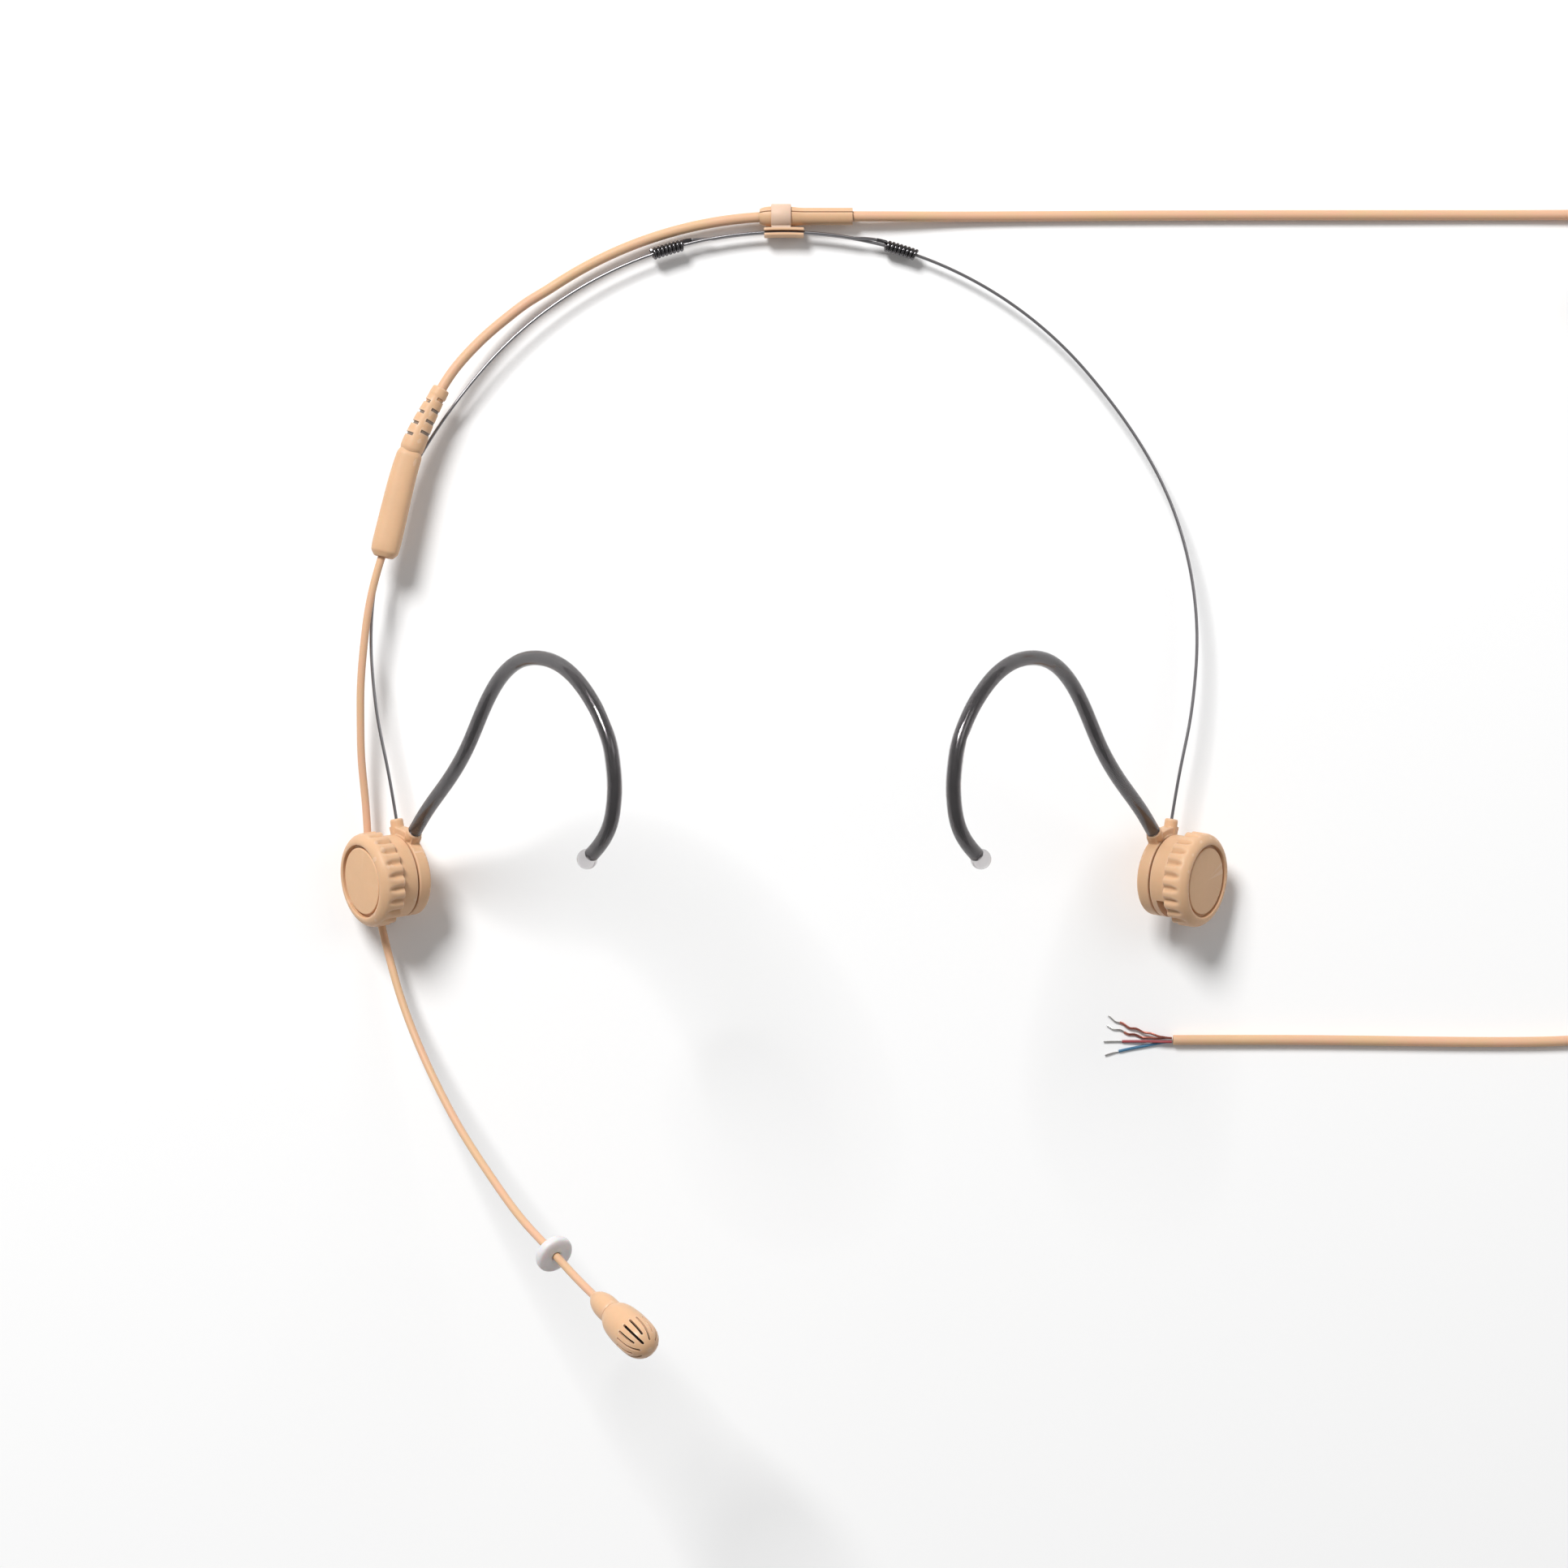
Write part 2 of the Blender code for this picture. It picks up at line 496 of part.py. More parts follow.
def ear_hook(prefix, body, matrix, side):
    """A spring wire in a clear tube that ends in a round tip."""
    along = np.array((math.sin(SOCKET_ANGLE), math.cos(SOCKET_ANGLE), 0))
    mouth = np.array((*SOCKET_PLACE, HOOK_LEVEL))
    route = [mouth] + [(up, back, HOOK_LEVEL) for back, up in HOOK_ROUTE]
    line = Path(smooth(route, 3.4, slope_in=along))
    end = line.length
    wire_end = end - 1.2
    stops = [d for d in line.run if d < wire_end - 1] + [wire_end]
    core = [(-2.5, HOOK_CORE / 2)] + [(d, HOOK_CORE / 2) for d in stops]
    add_mesh(f"{prefix}_hook_wire", line.body(core, 6), body, matrix, "spring_steel", side)
    outer, bore, ball = HOOK_TUBE / 2, HOOK_BORE / 2, HOOK_TIP / 2
    tube_profile = [(wire_end + 0.4, 0), (wire_end + 0.4, bore)]
    tube_profile += [(d, bore) for d in reversed(stops[1:-1])] + [(CLEAR, bore), (CLEAR, outer)]
    tube_profile += [(d, outer) for d in stops[1:-1]]
    start = math.acos(outer / ball)
    for t in np.linspace(0, 1, 6):
        angle = -start + t * (start + math.pi / 2)
        tube_profile.append((end + ball * math.sin(angle), ball * math.cos(angle) if t < 1 else 0))
    add_mesh(f"{prefix}_hook_tube", line.body(tube_profile, 8), body, matrix, "clear_tube", side)


def hub(side):
    prefix = "left" if side == LEFT else "right"
    matrix = hub_frame(side)
    band = f"{prefix}_band"
    ear_plate(f"{prefix}_ear_plate", band, matrix, side)
    stud = [(1.0, 0), (1.0, 2.2), (1.75, 2.2), (1.75, STUD_RADIUS), (7.3, STUD_RADIUS), (7.5, STUD_RADIUS - 0.2)]
    add_mesh(f"{prefix}_axle_stud", turned(stud + [(7.5, 0)], 16), band, matrix, "turned_steel", side)
    ear_hook(prefix, band, matrix, side)
    washer = [(2.15, 1.6), (2.15, 5.4), (2.35, 5.4), (2.35, 1.6)]
    add_mesh(f"{prefix}_friction_washer", turned(washer, 16, True), band, matrix, "nylon", side)
    clamp_ring(f"{prefix}_clamp_ring", f"{prefix}_ring", matrix, side)
    plate = [(5.05, 1.6), (5.05, 4.7), (5.45, 4.7), (5.45, 1.6)]
    add_mesh(f"{prefix}_thrust_washer", turned(plate, 16, True), f"{prefix}_press", matrix, "turned_steel", side)
    knob(prefix, f"{prefix}_knob", matrix, side)


# ---- boom and capsule -----------------------------------------------------------------------------------------


def boom_line():
    return Path(smooth([(up, back, GROOVE_LEVEL) for back, up in BOOM_ROUTE], 3.0, slope_in=(0, -1, 0)))


def boom():
    matrix = hub_frame(LEFT)
    line = boom_line()
    radius = BOOM_DIAMETER / 2
    profile = [(d, radius) for d in line.run]
    add_mesh("mic_boom", line.body(profile, 8), "boom", matrix, "cable_jacket")
    back = line.length - GUARD_BACK
    hole, outer, half = radius + 0.12, GUARD_DIAMETER / 2, GUARD_THICK / 2
    rim = [(-half, outer - 0.45), (-half * 0.45, outer), (half * 0.45, outer), (half, outer - 0.45)]
    guard = [(back - half, hole)] + [(back + d, r) for d, r in rim] + [(back + half, hole)]
    add_mesh("sweat_guard", line.body(guard, 20, closed=True), "sweat_guard", matrix, "white_silicone")


def capsule_line():
    """The straight line of the capsule, from its neck on."""
    line = boom_line()
    point, tangent, *_ = line.at(line.length)
    return Path([point, point + tangent * CAP_PROFILE[-1][0]])


def capsule():
    """A boot on the boom's end holds the cartridge, and the slotted cap pulls off it with its mesh."""
    matrix = hub_frame(LEFT)
    line = capsule_line()
    boot = [(-0.7, 0.7), (-0.7, 0.82), (-0.1, 1.12), (0.5, 1.42), (1.3, 1.68), (2.4, 1.82)]
    boot += [(4.15, 1.82), (4.15, 1.5), (7.6, 1.5), (7.6, 1.28), (0.7, 1.28), (0.7, 0.7)]
    add_mesh("capsule_boot", line.body(boot, 16, closed=True), "boom", matrix, "tan_plastic")
    cartridge = [(0.9, 0), (0.9, 1.2), (8.6, 1.2), (8.8, 1.05), (8.8, 0)]
    add_mesh("mic_cartridge", line.body(cartridge, 16), "boom", matrix, "turned_steel")
    screen = [(13.35, 0), (13.2, 0.6), (12.6, 1.3), (11.4, 1.85), (9.2, 2.0), (6.8, 1.85)]
    screen += [(6.8, 2.1), (9.2, 2.22), (11.6, 2.05), (12.85, 1.45), (13.5, 0.65), (13.6, 0)]
    add_mesh("mic_screen", line.body(screen, 16), "mic_cap", matrix, "dark_mesh")
    inner = [(d, r - CAP_WALL) for d, r in CAP_PROFILE[2:-3]]
    shell = [(CAP_PROFILE[-1][0] - 0.45, 0)] + inner[::-1] + [(CAP_PROFILE[0][0], 1.6)] + CAP_PROFILE
    cap = add_mesh("mic_cap", line.body(shell, 16), "mic_cap", matrix, "tan_plastic")
    for i in range(SLOTS):
        start, stop = SHORT_SLOT if i % 2 else LONG_SLOT
        angle = 2 * math.pi * i / SLOTS
        corners = []
        for d in (start, stop):
            point, _, normal, side = line.at(d)
            out = math.cos(angle) * normal + math.sin(angle) * side
            across = -math.sin(angle) * normal + math.cos(angle) * side
            half, low = SLOT_WIDTH / 2, 1.1
            outline = ((low, -half), (4.0, -half), (4.0, half), (low, half))
            corners.append([tuple(point + out * r + across * w) for r, w in outline])
        cutter = add_mesh(f"mic_cap_slot_{i + 1}", skin(corners), "mic_cap", matrix, "tan_plastic")
        combine(cap, cutter, "DIFFERENCE")


# ---- cables held by the headset -------------------------------------------------------------------------------


def shifted(points):
    return [(x, y - MIDDLE_Y, z) for x, y, z in points]


def joint_line():
    """The line of the inline joint and its strain relief."""
    return Path(smooth(shifted([JOINT_START, (-60.1, 43.4, 6.05), JOINT_END, RELIEF_END]), 1.5))


def cable_joint():
    line = joint_line()
    barrel_length = float(np.linalg.norm(np.subtract(JOINT_END, JOINT_START)))
    bore = 0.82
    barrel = [(0, bore), (0, 1.55), (0.7, 2.1), (2.0, 2.22), (12.0, 2.1), (barrel_length - 0.9, 1.98)]
    barrel += [(barrel_length - 0.3, 1.75), (barrel_length - 0.3, bore)]
    bm = line.body(barrel, 16, closed=True, flatness=0.86)
    add_mesh("joint_barrel", bm, "left_band", WORLD, "tan_plastic")
    start, end = barrel_length, line.length
    relief = [(start, 0.95), (start, 1.85), (start + 1.2, 1.88), (end - 1.5, 1.35), (end, 1.18), (end, 0.95)]
    shell = add_mesh("strain_relief", line.body(relief, 16, closed=True), "left_band", WORLD, "tan_plastic")
    for i in range(4):
        for half_turn in (0, 1):
            middle = start + 2.3 + 1.9 * i + 0.95 * half_turn
            point, tangent, _, side = line.at(middle)
            out = side * (1 if half_turn else -1)
            up = np.cross(tangent, out)
            corners = []
            for d in (-0.22, 0.22):
                centre = point + tangent * d
                corners.append([tuple(centre + out * r + up * w) for r, w in
                                ((1.0, -2.5), (3.0, -2.5), (3.0, 2.5), (1.0, 2.5))])
            cutter = add_mesh(f"relief_slot_{i}_{half_turn}", skin(corners), "left_band", WORLD, "tan_plastic")
            combine(shell, cutter, "DIFFERENCE")


def cables():
    joint = joint_line()
    start = joint.at(0)
    thin = smooth(shifted(THIN_ROUTE) + [start[0] + start[1] * 3.0], 3.0)
    tube("mic_lead", thin, THIN_CABLE, "left_band", WORLD, "cable_jacket")
    to_world = band_frame()
    arc = [tuple(to_world @ (Vector(on_band(d, MAIN_RADIUS)) * MM) / MM)
           for d in np.linspace(MAIN_JOIN, -math.degrees(math.asin(MAIN_END_X / MAIN_RADIUS)), 16)]
    inside = [joint.at(joint.length - back)[0] for back in (5.0, 2.5, 0.0)]
    angle = math.radians(MAIN_JOIN)
    route = inside + shifted(MAIN_ROUTE) + [arc[0]]
    lead = smooth(route, 3.0, slope_out=(math.cos(angle), math.sin(angle), 0))
    tube("main_cable", lead[:-1] + arc, MAIN_CABLE, "left_band", WORLD, "cable_jacket")
    cable_joint()


# ---- clip -----------------------------------------------------------------------------------------------------


def open_ring(outer, inner, gap_angle, half_gap, sides=20):
    """The outline of a ring with a gap, as (angle, radius) points. The gap's middle is at `gap_angle`."""
    angles = [gap_angle + half_gap + (2 * math.pi - 2 * half_gap) * i / sides for i in range(sides + 1)]
    return [(a, outer) for a in angles] + [(a, inner) for a in reversed(angles)]


def clip():
    """A sleeve round the cable, held by a loop on the channel that the two band wires slide in."""
    band = band_frame()
    top = band @ (Vector(on_band(0, MAIN_RADIUS)) * MM) / MM
    matrix = frame((1, 0, 0), (0, 1, 0), (0, 0, 1), top)
    pivot("sleeve", matrix, "clip")
    slit_angle = math.radians(65.0)

    def section(x, outer, inner, gap_angle, half_gap):
        outline = open_ring(outer, inner, gap_angle, half_gap)
        return [(x, r * math.cos(a), r * math.sin(a)) for a, r in outline]

    half_slit = SLEEVE_SLIT / 2 / SLEEVE_NARROW
    stations = [(SLEEVE_FROM, 1.3), (SLEEVE_FROM + 0.7, 1.52), (SLEEVE_FROM + 1.5, SLEEVE_WIDE)]
    stations += [(SLEEVE_WAIST - 1.4, SLEEVE_WIDE), (SLEEVE_WAIST, SLEEVE_NARROW), (SLEEVE_TO, SLEEVE_NARROW)]
    bm = skin([section(x, r, SLEEVE_BORE, slit_angle, half_slit) for x, r in stations])
    add_mesh("cable_sleeve", bm, "sleeve", matrix, "tan_plastic")
    loop = [section(x, LOOP_OUTER, SLEEVE_WIDE + 0.08, -math.pi, LOOP_MOUTH / 2) for x in (LOOP_FROM, LOOP_TO)]
    add_mesh("clip_loop", skin(loop), "clip", matrix, "clip_plastic")

    slot = WIRE_DIAMETER / 2 + 0.06
    depth = WIRE_SPACING / 2 + slot
    side_wall, lip = slot + CHANNEL_WALL, CHANNEL_LIP_WIDTH / 2
    outline = [(-side_wall, -depth - CHANNEL_FLOOR), (side_wall, -depth - CHANNEL_FLOOR)]
    outline += [(side_wall, depth + CHANNEL_LIP_DEPTH - 0.15), (side_wall - 0.15, depth + CHANNEL_LIP_DEPTH)]
    outline += [(lip, depth + CHANNEL_LIP_DEPTH), (lip, depth + 0.15), (slot, depth), (slot, -depth), (-slot, -depth)]
    outline += [(-slot, depth), (-lip, depth + 0.15), (-lip, depth + CHANNEL_LIP_DEPTH)]
    outline += [(0.15 - side_wall, depth + CHANNEL_LIP_DEPTH), (-side_wall, depth + CHANNEL_LIP_DEPTH - 0.15)]
    half = math.degrees(CHANNEL_LENGTH / 2 / BAND_RADIUS)
    rings = [[on_band(d, BAND_RADIUS + r, z) for r, z in outline] for d in np.linspace(half, -half, 5)]
    add_mesh("wire_channel", skin(rings), "clip", band, "tan_plastic")


# ---- free cord ------------------------------------------------------------------------------------------------


def cord():
    level = band_frame() @ (Vector(on_band(0, MAIN_RADIUS)) * MM) / MM
    start = (CORD_START_X, level.y, level.z)
    route = [start] + shifted(CORD_OUT_ROUTE) + shifted([CORD_OUT_END])
    tube("cord_run_out", smooth(route, 4.8), CORD_DIAMETER, "clip", WORLD, "cable_jacket")
    centre = frame((1, 0, 0), (0, 1, 0), (0, 0, 1), (COIL_CENTRE[0], COIL_CENTRE[1] - MIDDLE_Y, 0))
    low = TIE_THICK + 0.15
    high = low + COIL_HEIGHT
    ring = [(low, COIL_INNER), (low, COIL_OUTER), (high, COIL_OUTER), (high, COIL_INNER)]
    add_mesh("cord_coil", turned(ring, 36, True), "clip", centre, "cable_jacket")
    inner, outer = COIL_INNER - 0.45, COIL_OUTER + 0.15
    half = TIE_WIDTH / 2
    loops = [
        [(-outer - t, y, low - 0.12 - t), (-inner + t, y, low - 0.12 - t), (-inner + t, y, high + 0.12 + t),
         (-outer - t, y, high + 0.12 + t)]
        for t, y in ((0, -half), (TIE_THICK, -half), (TIE_THICK, half), (0, half))
    ]
    add_mesh("cord_tie", skin(loops, closed=True), "clip", centre, "nylon")
    route = shifted([CORD_BACK_START] + CORD_BACK_ROUTE + [CORD_BACK_END])
    tube("cord_run_back", smooth(route, 4.8, slope_out=(-1, 0, 0)), CORD_DIAMETER, "clip", WORLD, "cable_jacket")
    quarter = 0.27
    corners = [(quarter, quarter), (quarter, -quarter), (-quarter, quarter), (-quarter, -quarter)]
    for (name, (points, finish)), (y, z) in zip(LEADS.items(), corners):
        first = (CORD_BACK_END[0] - FACE_GAP, CORD_BACK_END[1] + y, CORD_BACK_END[2] + z)
        run = smooth(shifted([first] + points), 1.3, slope_in=(-1, 0, 0))
        tube(name, run, LEAD_DIAMETER, "clip", WORLD, finish)


def main():
    clear_scene()
    pivot("clip", band_frame())
    for side, prefix in ((LEFT, "left"), (RIGHT, "right")):
        matrix = hub_frame(side)
        pivot(f"{prefix}_band", band_frame(), "clip")
        pivot(f"{prefix}_ring", matrix, f"{prefix}_band")
        pivot(f"{prefix}_press", matrix, f"{prefix}_band")
        pivot(f"{prefix}_knob", matrix, f"{prefix}_press")
    pivot("boom", hub_frame(LEFT), "left_ring")
    pivot("sweat_guard", hub_frame(LEFT), "boom")
    pivot("mic_cap", hub_frame(LEFT), "boom")
    neckband()
    for side in (LEFT, RIGHT):
        hub(side)
    boom()
    capsule()
    cables()
    clip()
    cord()


main()
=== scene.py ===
"""Looks of the headset microphone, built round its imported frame.

It is laid out as an add-on: the sizes and colours are properties, each group of pieces has an operator, and
main() runs the operators in order. Shapes are worked out in millimetres and become metres when a piece is made.
+X is the wearer's right, +Y the back of the head and +Z up.
"""

import math

import bmesh
import bpy
import numpy as np
from bpy.props import FloatProperty, FloatVectorProperty, PointerProperty
from mathutils import Matrix, Vector


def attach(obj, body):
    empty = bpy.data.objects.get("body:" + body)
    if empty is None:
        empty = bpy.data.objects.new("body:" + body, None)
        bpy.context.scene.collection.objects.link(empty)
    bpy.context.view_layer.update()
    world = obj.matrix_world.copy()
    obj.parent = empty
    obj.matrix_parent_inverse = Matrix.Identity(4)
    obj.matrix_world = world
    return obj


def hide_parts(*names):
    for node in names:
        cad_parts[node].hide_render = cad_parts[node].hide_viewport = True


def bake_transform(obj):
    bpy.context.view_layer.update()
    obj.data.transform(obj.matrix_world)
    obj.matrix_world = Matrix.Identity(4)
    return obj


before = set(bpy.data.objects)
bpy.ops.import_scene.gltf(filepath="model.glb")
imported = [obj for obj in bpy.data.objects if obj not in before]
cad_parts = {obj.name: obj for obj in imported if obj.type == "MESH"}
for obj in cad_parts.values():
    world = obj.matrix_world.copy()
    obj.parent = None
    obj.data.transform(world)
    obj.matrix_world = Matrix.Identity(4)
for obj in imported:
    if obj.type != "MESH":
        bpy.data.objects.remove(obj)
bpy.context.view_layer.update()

bl_info = {
    "name": "Headset microphone looks",
    "version": (1, 0, 0),
    "blender": (4, 5, 0),
    "location": "3D View > Sidebar > Headset",
    "description": "Builds the detailed pieces, the finishes and the stage of a headset microphone",
    "category": "Object",
}

MM = 0.001
LEFT, RIGHT = -1, 1

# Neckband
MIDDLE_Y = 3.945
BAND_CENTRE = (0.0, 24.3 - MIDDLE_Y, 4.76)
BAND_TILT = math.radians(2.5)
BAND_RADIUS = 61.8
WIRE_DIAMETER, WIRE_SPACING = 0.5, 0.58
BEND_START = 50.0
COIL_START, COIL_END, COIL_TURNS, COIL_LEAD = 14.8, 19.4, 8, 4.6
COIL_STEPS = 20  # to a turn
COIL_SWELL, COIL_SWELL_OVER = 0.09, 0.4
TEMPLE_ROUTE = [(-59.7, 44.7, 3.88), (-63.1, 33.3, 4.4), (-64.1, 21.4, 4.92), (-63.7, 15.4, 5.17)]
TEMPLE_ROUTE += [(-62.9, 9.4, 5.4), (-61.7, 3.6, 5.62)]

# Hubs, on their own axis: x is up and inwards, y back, z out from the head
HUB_BASE = (-57.9, -13.85 - MIDDLE_Y, 5.0)
HUB_LEAN, HUB_TOE = math.radians(35.0), math.radians(9.0)
PLATE_RADIUS, PLATE_THICK, PLATE_HOLE, PLATE_POCKET = 6.4, 2.1, 2.3, 0.9
WEB_SWEEP, WEB_INNER, WEB_OUTER, WEB_HOLLOW = (-9, 47), 5.0, 7.7, 0.35
WIRE_BORE = 0.33
RING_RADIUS, RING_FLOOR, RING_TOP = 6.4, 2.4, 5.0
KNOB_RADIUS, KNOB_FLOOR, KNOB_TOP = 7.3, 5.15, 9.0
GRIP_GROOVES, GRIP_DEPTH, GRIP_END = 22, 0.5, 8.0
GRIP_FROM = 6.8  # radius outside which the grooves are cut
CAP_RADIUS, CAP_POCKET, CAP_LEVEL = 5.18, 5.65, 8.78
STUD_RADIUS = 1.4
BOSS_RADIUS, BOSS_END, BOSS_LEVEL = 0.95, 8.7, 1.05
SOCKET_RADIUS, HOOK_LEVEL = 1.22, 1.22
SOCKET_PLACE, SOCKET_ANGLE = (5.4, 6.3), math.radians(57.7)
GROOVE_WIDTH, GROOVE_LEVEL, GROOVE_FLOOR = 1.3, 4.0, 4.1
HOOK_ROUTE = [(8.9, 9.7), (13.1, 18.0), (17.6, 25.3), (22.5, 31.4), (26.9, 38.5), (28.3, 43.5), (28.2, 48.9)]
HOOK_ROUTE += [(26.8, 53.9), (24.6, 57.6), (22.1, 60.2), (19.4, 62.2), (16.6, 63.6), (13.9, 64.4)]
HOOK_ROUTE += [(11.2, 64.4), (8.4, 64.0), (5.7, 63.0), (3.1, 61.4), (0.75, 58.6), (-1.6, 53.6)]
HOOK_TIP = 3.0

# Boom and capsule
BOOM_ROUTE = [(3.17, -4.9), (-3.0, -4.86), (-7.3, -4.6), (-13.7, -3.5), (-17.7, -2.5), (-25.6, 0.7)]
BOOM_ROUTE += [(-33.1, 5.05), (-40.3, 10.4), (-47.1, 16.9), (-53.55, 24.05), (-58.98, 32.2)]
BOOM_ROUTE += [(-61.95, 36.6), (-65.1, 41.8)]
GUARD_BACK, GUARD_DIAMETER, GUARD_THICK = 12.0, 5.9, 1.6
BOOT_PROFILE = [(-0.7, 0.66), (-0.7, 0.7), (-0.4, 0.88), (0.0, 1.15), (0.4, 1.37), (0.9, 1.56), (1.5, 1.72)]
BOOT_PROFILE += [(2.2, 1.82), (3.0, 1.85), (3.7, 1.84), (4.05, 1.8), (4.15, 1.74)]
CAP_PROFILE = [(4.2, 1.7), (4.25, 1.82), (4.5, 1.99), (4.9, 2.22), (5.6, 2.52), (6.6, 2.73), (8.2, 2.88)]
CAP_PROFILE += [(9.8, 2.91), (11.2, 2.85), (12.2, 2.7), (13.0, 2.36), (13.6, 1.86), (14.05, 1.2), (14.25, 0.6)]
CAP_WALL = 0.5
SLOTS, SLOT_WIDTH = 16, 0.36
LONG_SLOT, SHORT_SLOT = (9.9, 13.9), (9.85, 13.1)

# Cables
MAIN_RADIUS, MAIN_JOIN = 64.3, 34.3
THIN_ROUTE = [(-64.7, -9.95, 3.52), (-65.1, -2.4, 4.0), (-65.6, 3.6, 4.6), (-65.7, 9.5, 5.2), (-65.6, 15.5, 5.7)]
THIN_ROUTE += [(-65.1, 21.4, 6.05), (-64.3, 27.3, 6.3), (-62.9, 33.2, 6.35)]
JOINT_ROUTE = [(-62.05, 35.1, 6.38), (-60.1, 43.4, 6.05), (-57.8, 51.7, 5.72), (-53.1, 61.4, 5.2)]
MAIN_ROUTE = [(-51.4, 64.1, 4.85), (-48.7, 67.35, 4.25), (-45.9, 70.2, 3.6), (-42.8, 72.85, 3.05)]
MAIN_ROUTE += [(-39.7, 75.25, 2.7)]
RELIEF_CUTS, RELIEF_FIRST, RELIEF_PITCH = 8, 2.3, 0.95
RELIEF_SWEEP, RELIEF_DEPTH, RELIEF_REACH, RELIEF_HALF = 75, 1.22, 3.0, 0.25

# Clip
SLEEVE_FROM, SLEEVE_WAIST, SLEEVE_TO = -3.8, 2.4, 10.7
SLEEVE_WIDE, SLEEVE_NARROW, SLEEVE_BORE, SLEEVE_SLIT = 1.58, 1.34, 1.08, 0.16
SLEEVE_SLIT_ANGLE = math.radians(65.0)
LOOP_FROM, LOOP_TO, LOOP_OUTER, LOOP_MOUTH = -2.0, 1.1, 1.94, math.radians(62.0)
CHANNEL_LENGTH, CHANNEL_WALL, CHANNEL_FLOOR = 6.2, 0.38, 0.45
CHANNEL_LIP_WIDTH, CHANNEL_LIP_DEPTH = 0.36, 0.5

# Free cord
CORD_OUT_ROUTE = [(11.5, 88.54, 1.97), (18.0, 88.56, 1.75), (26.0, 88.62, 1.2), (36.0, 88.7, 0.88)]
CORD_OUT_ROUTE += [(50.0, 88.8, 0.84), (70.0, 88.88, 0.84), (95.0, 88.9, 0.84), (120.0, 88.92, 0.86)]
CORD_OUT_ROUTE += [(132.6, 88.94, 1.15)]
COIL_CENTRE, COIL_RADII, COIL_FLOOR = (140.0, 76.0), (12.95, 11.35, 9.75, 8.15, 6.55), 1.36
CORD_BACK_ROUTE = [(152.85, 68.7, 5.0), (152.6, 62.0, 3.4), (152.2, 54.0, 1.6), (151.6, 44.0, 0.88)]
CORD_BACK_ROUTE += [(150.6, 28.0, 0.84), (149.8, 8.0, 0.84), (149.2, -10.0, 0.84), (147.4, -24.0, 0.84)]
CORD_BACK_ROUTE += [(141.0, -34.5, 0.84), (130.0, -39.2, 0.84), (116.0, -40.3, 0.84), (98.0, -40.2, 0.84)]
CORD_BACK_ROUTE += [(80.0, -40.0, 0.84), (60.8, -40.0, 0.84)]
CORD_LAYERS, CORD_RISE = 4, 1.6
CORD_TURNS, CORD_STEPS = 19.25, 40
CORD_HELD = 0.78  # the share of a turn before it moves over to the next one's place
TIE_WIDTH, TIE_THICK = 3.0, 0.4
TIE_REACH = (-13.75, -5.45)  # from the coil's middle to the strap's outer and inner run
TIE_HEIGHT = (0.42, 7.18)
TAB_MIDDLE, TAB_HALF, TAB_THICK, TAB_BEVEL = -9.6, 1.35, 0.22, 0.1
LEADS = {  # each lead's way from the cord's end, and how much of it is covered
    "screen_upper": ([(60.6, -39.73, 1.11), (57.6, -39.15, 0.85), (52.9, -37.55, 0.35), (50.7, -36.4, 0.27)], 0.8),
    "screen_lower": ([(60.6, -39.73, 0.57), (57.0, -39.73, 0.35), (53.2, -38.8, 0.27), (50.5, -37.9, 0.27)], 0.72),
    "red": ([(60.6, -40.27, 1.11), (57.0, -40.24, 0.75), (52.7, -40.27, 0.3), (50.0, -40.3, 0.27)], 0.73),
    "blue": ([(60.6, -40.27, 0.57), (57.5, -40.75, 0.38), (52.4, -41.8, 0.27), (50.2, -42.45, 0.27)], 0.79),
}


# ---- placing ----


def axes(x_axis, y_axis, z_axis, origin):
    """A placement from three unit axes and an origin in millimetres. It takes millimetres to metres."""
    matrix = Matrix((x_axis, y_axis, z_axis)).transposed().to_4x4()
    matrix.translation = Vector(origin)
    return Matrix.Scale(MM, 4) @ matrix


WORLD = axes((1, 0, 0), (0, 1, 0), (0, 0, 1), (0, 0, 0))


def band_axes():
    """x to the right, y to the back of the band and z along the axis of its circle."""
    c, s = math.cos(BAND_TILT), math.sin(BAND_TILT)
    return axes((1, 0, 0), (0, c, -s), (0, s, c), BAND_CENTRE)


def hub_axes(side):
    """A hub's own axes. On the right the x axis is turned over, and pieces are mirrored in x to suit."""
    lean_c, lean_s = math.cos(HUB_LEAN), math.sin(HUB_LEAN)
    toe_c, toe_s = math.cos(HUB_TOE), math.sin(HUB_TOE)
    out = Vector((side * lean_c * toe_c, -lean_c * toe_s, lean_s))
    back = Vector((side * toe_s, toe_c, 0.0))
    return axes(back.cross(out), back, out, (-side * HUB_BASE[0], HUB_BASE[1], HUB_BASE[2]))


def shifted(points):
    return [(x, y - MIDDLE_Y, z) for x, y, z in points]


def side_name(side):
    return "left" if side == LEFT else "right"


# ---- lines and shapes ----


def evenly(points, spacing):
    """The same line, with points an even distance apart."""
    p = np.array([tuple(q) for q in points], dtype=float)
    run = np.concatenate([[0], np.cumsum(np.linalg.norm(np.diff(p, axis=0), axis=1))])
    stops = np.linspace(0, run[-1], max(2, round(run[-1] / spacing) + 1))
    return np.stack([np.interp(stops, run, p[:, k]) for k in range(3)], axis=1)


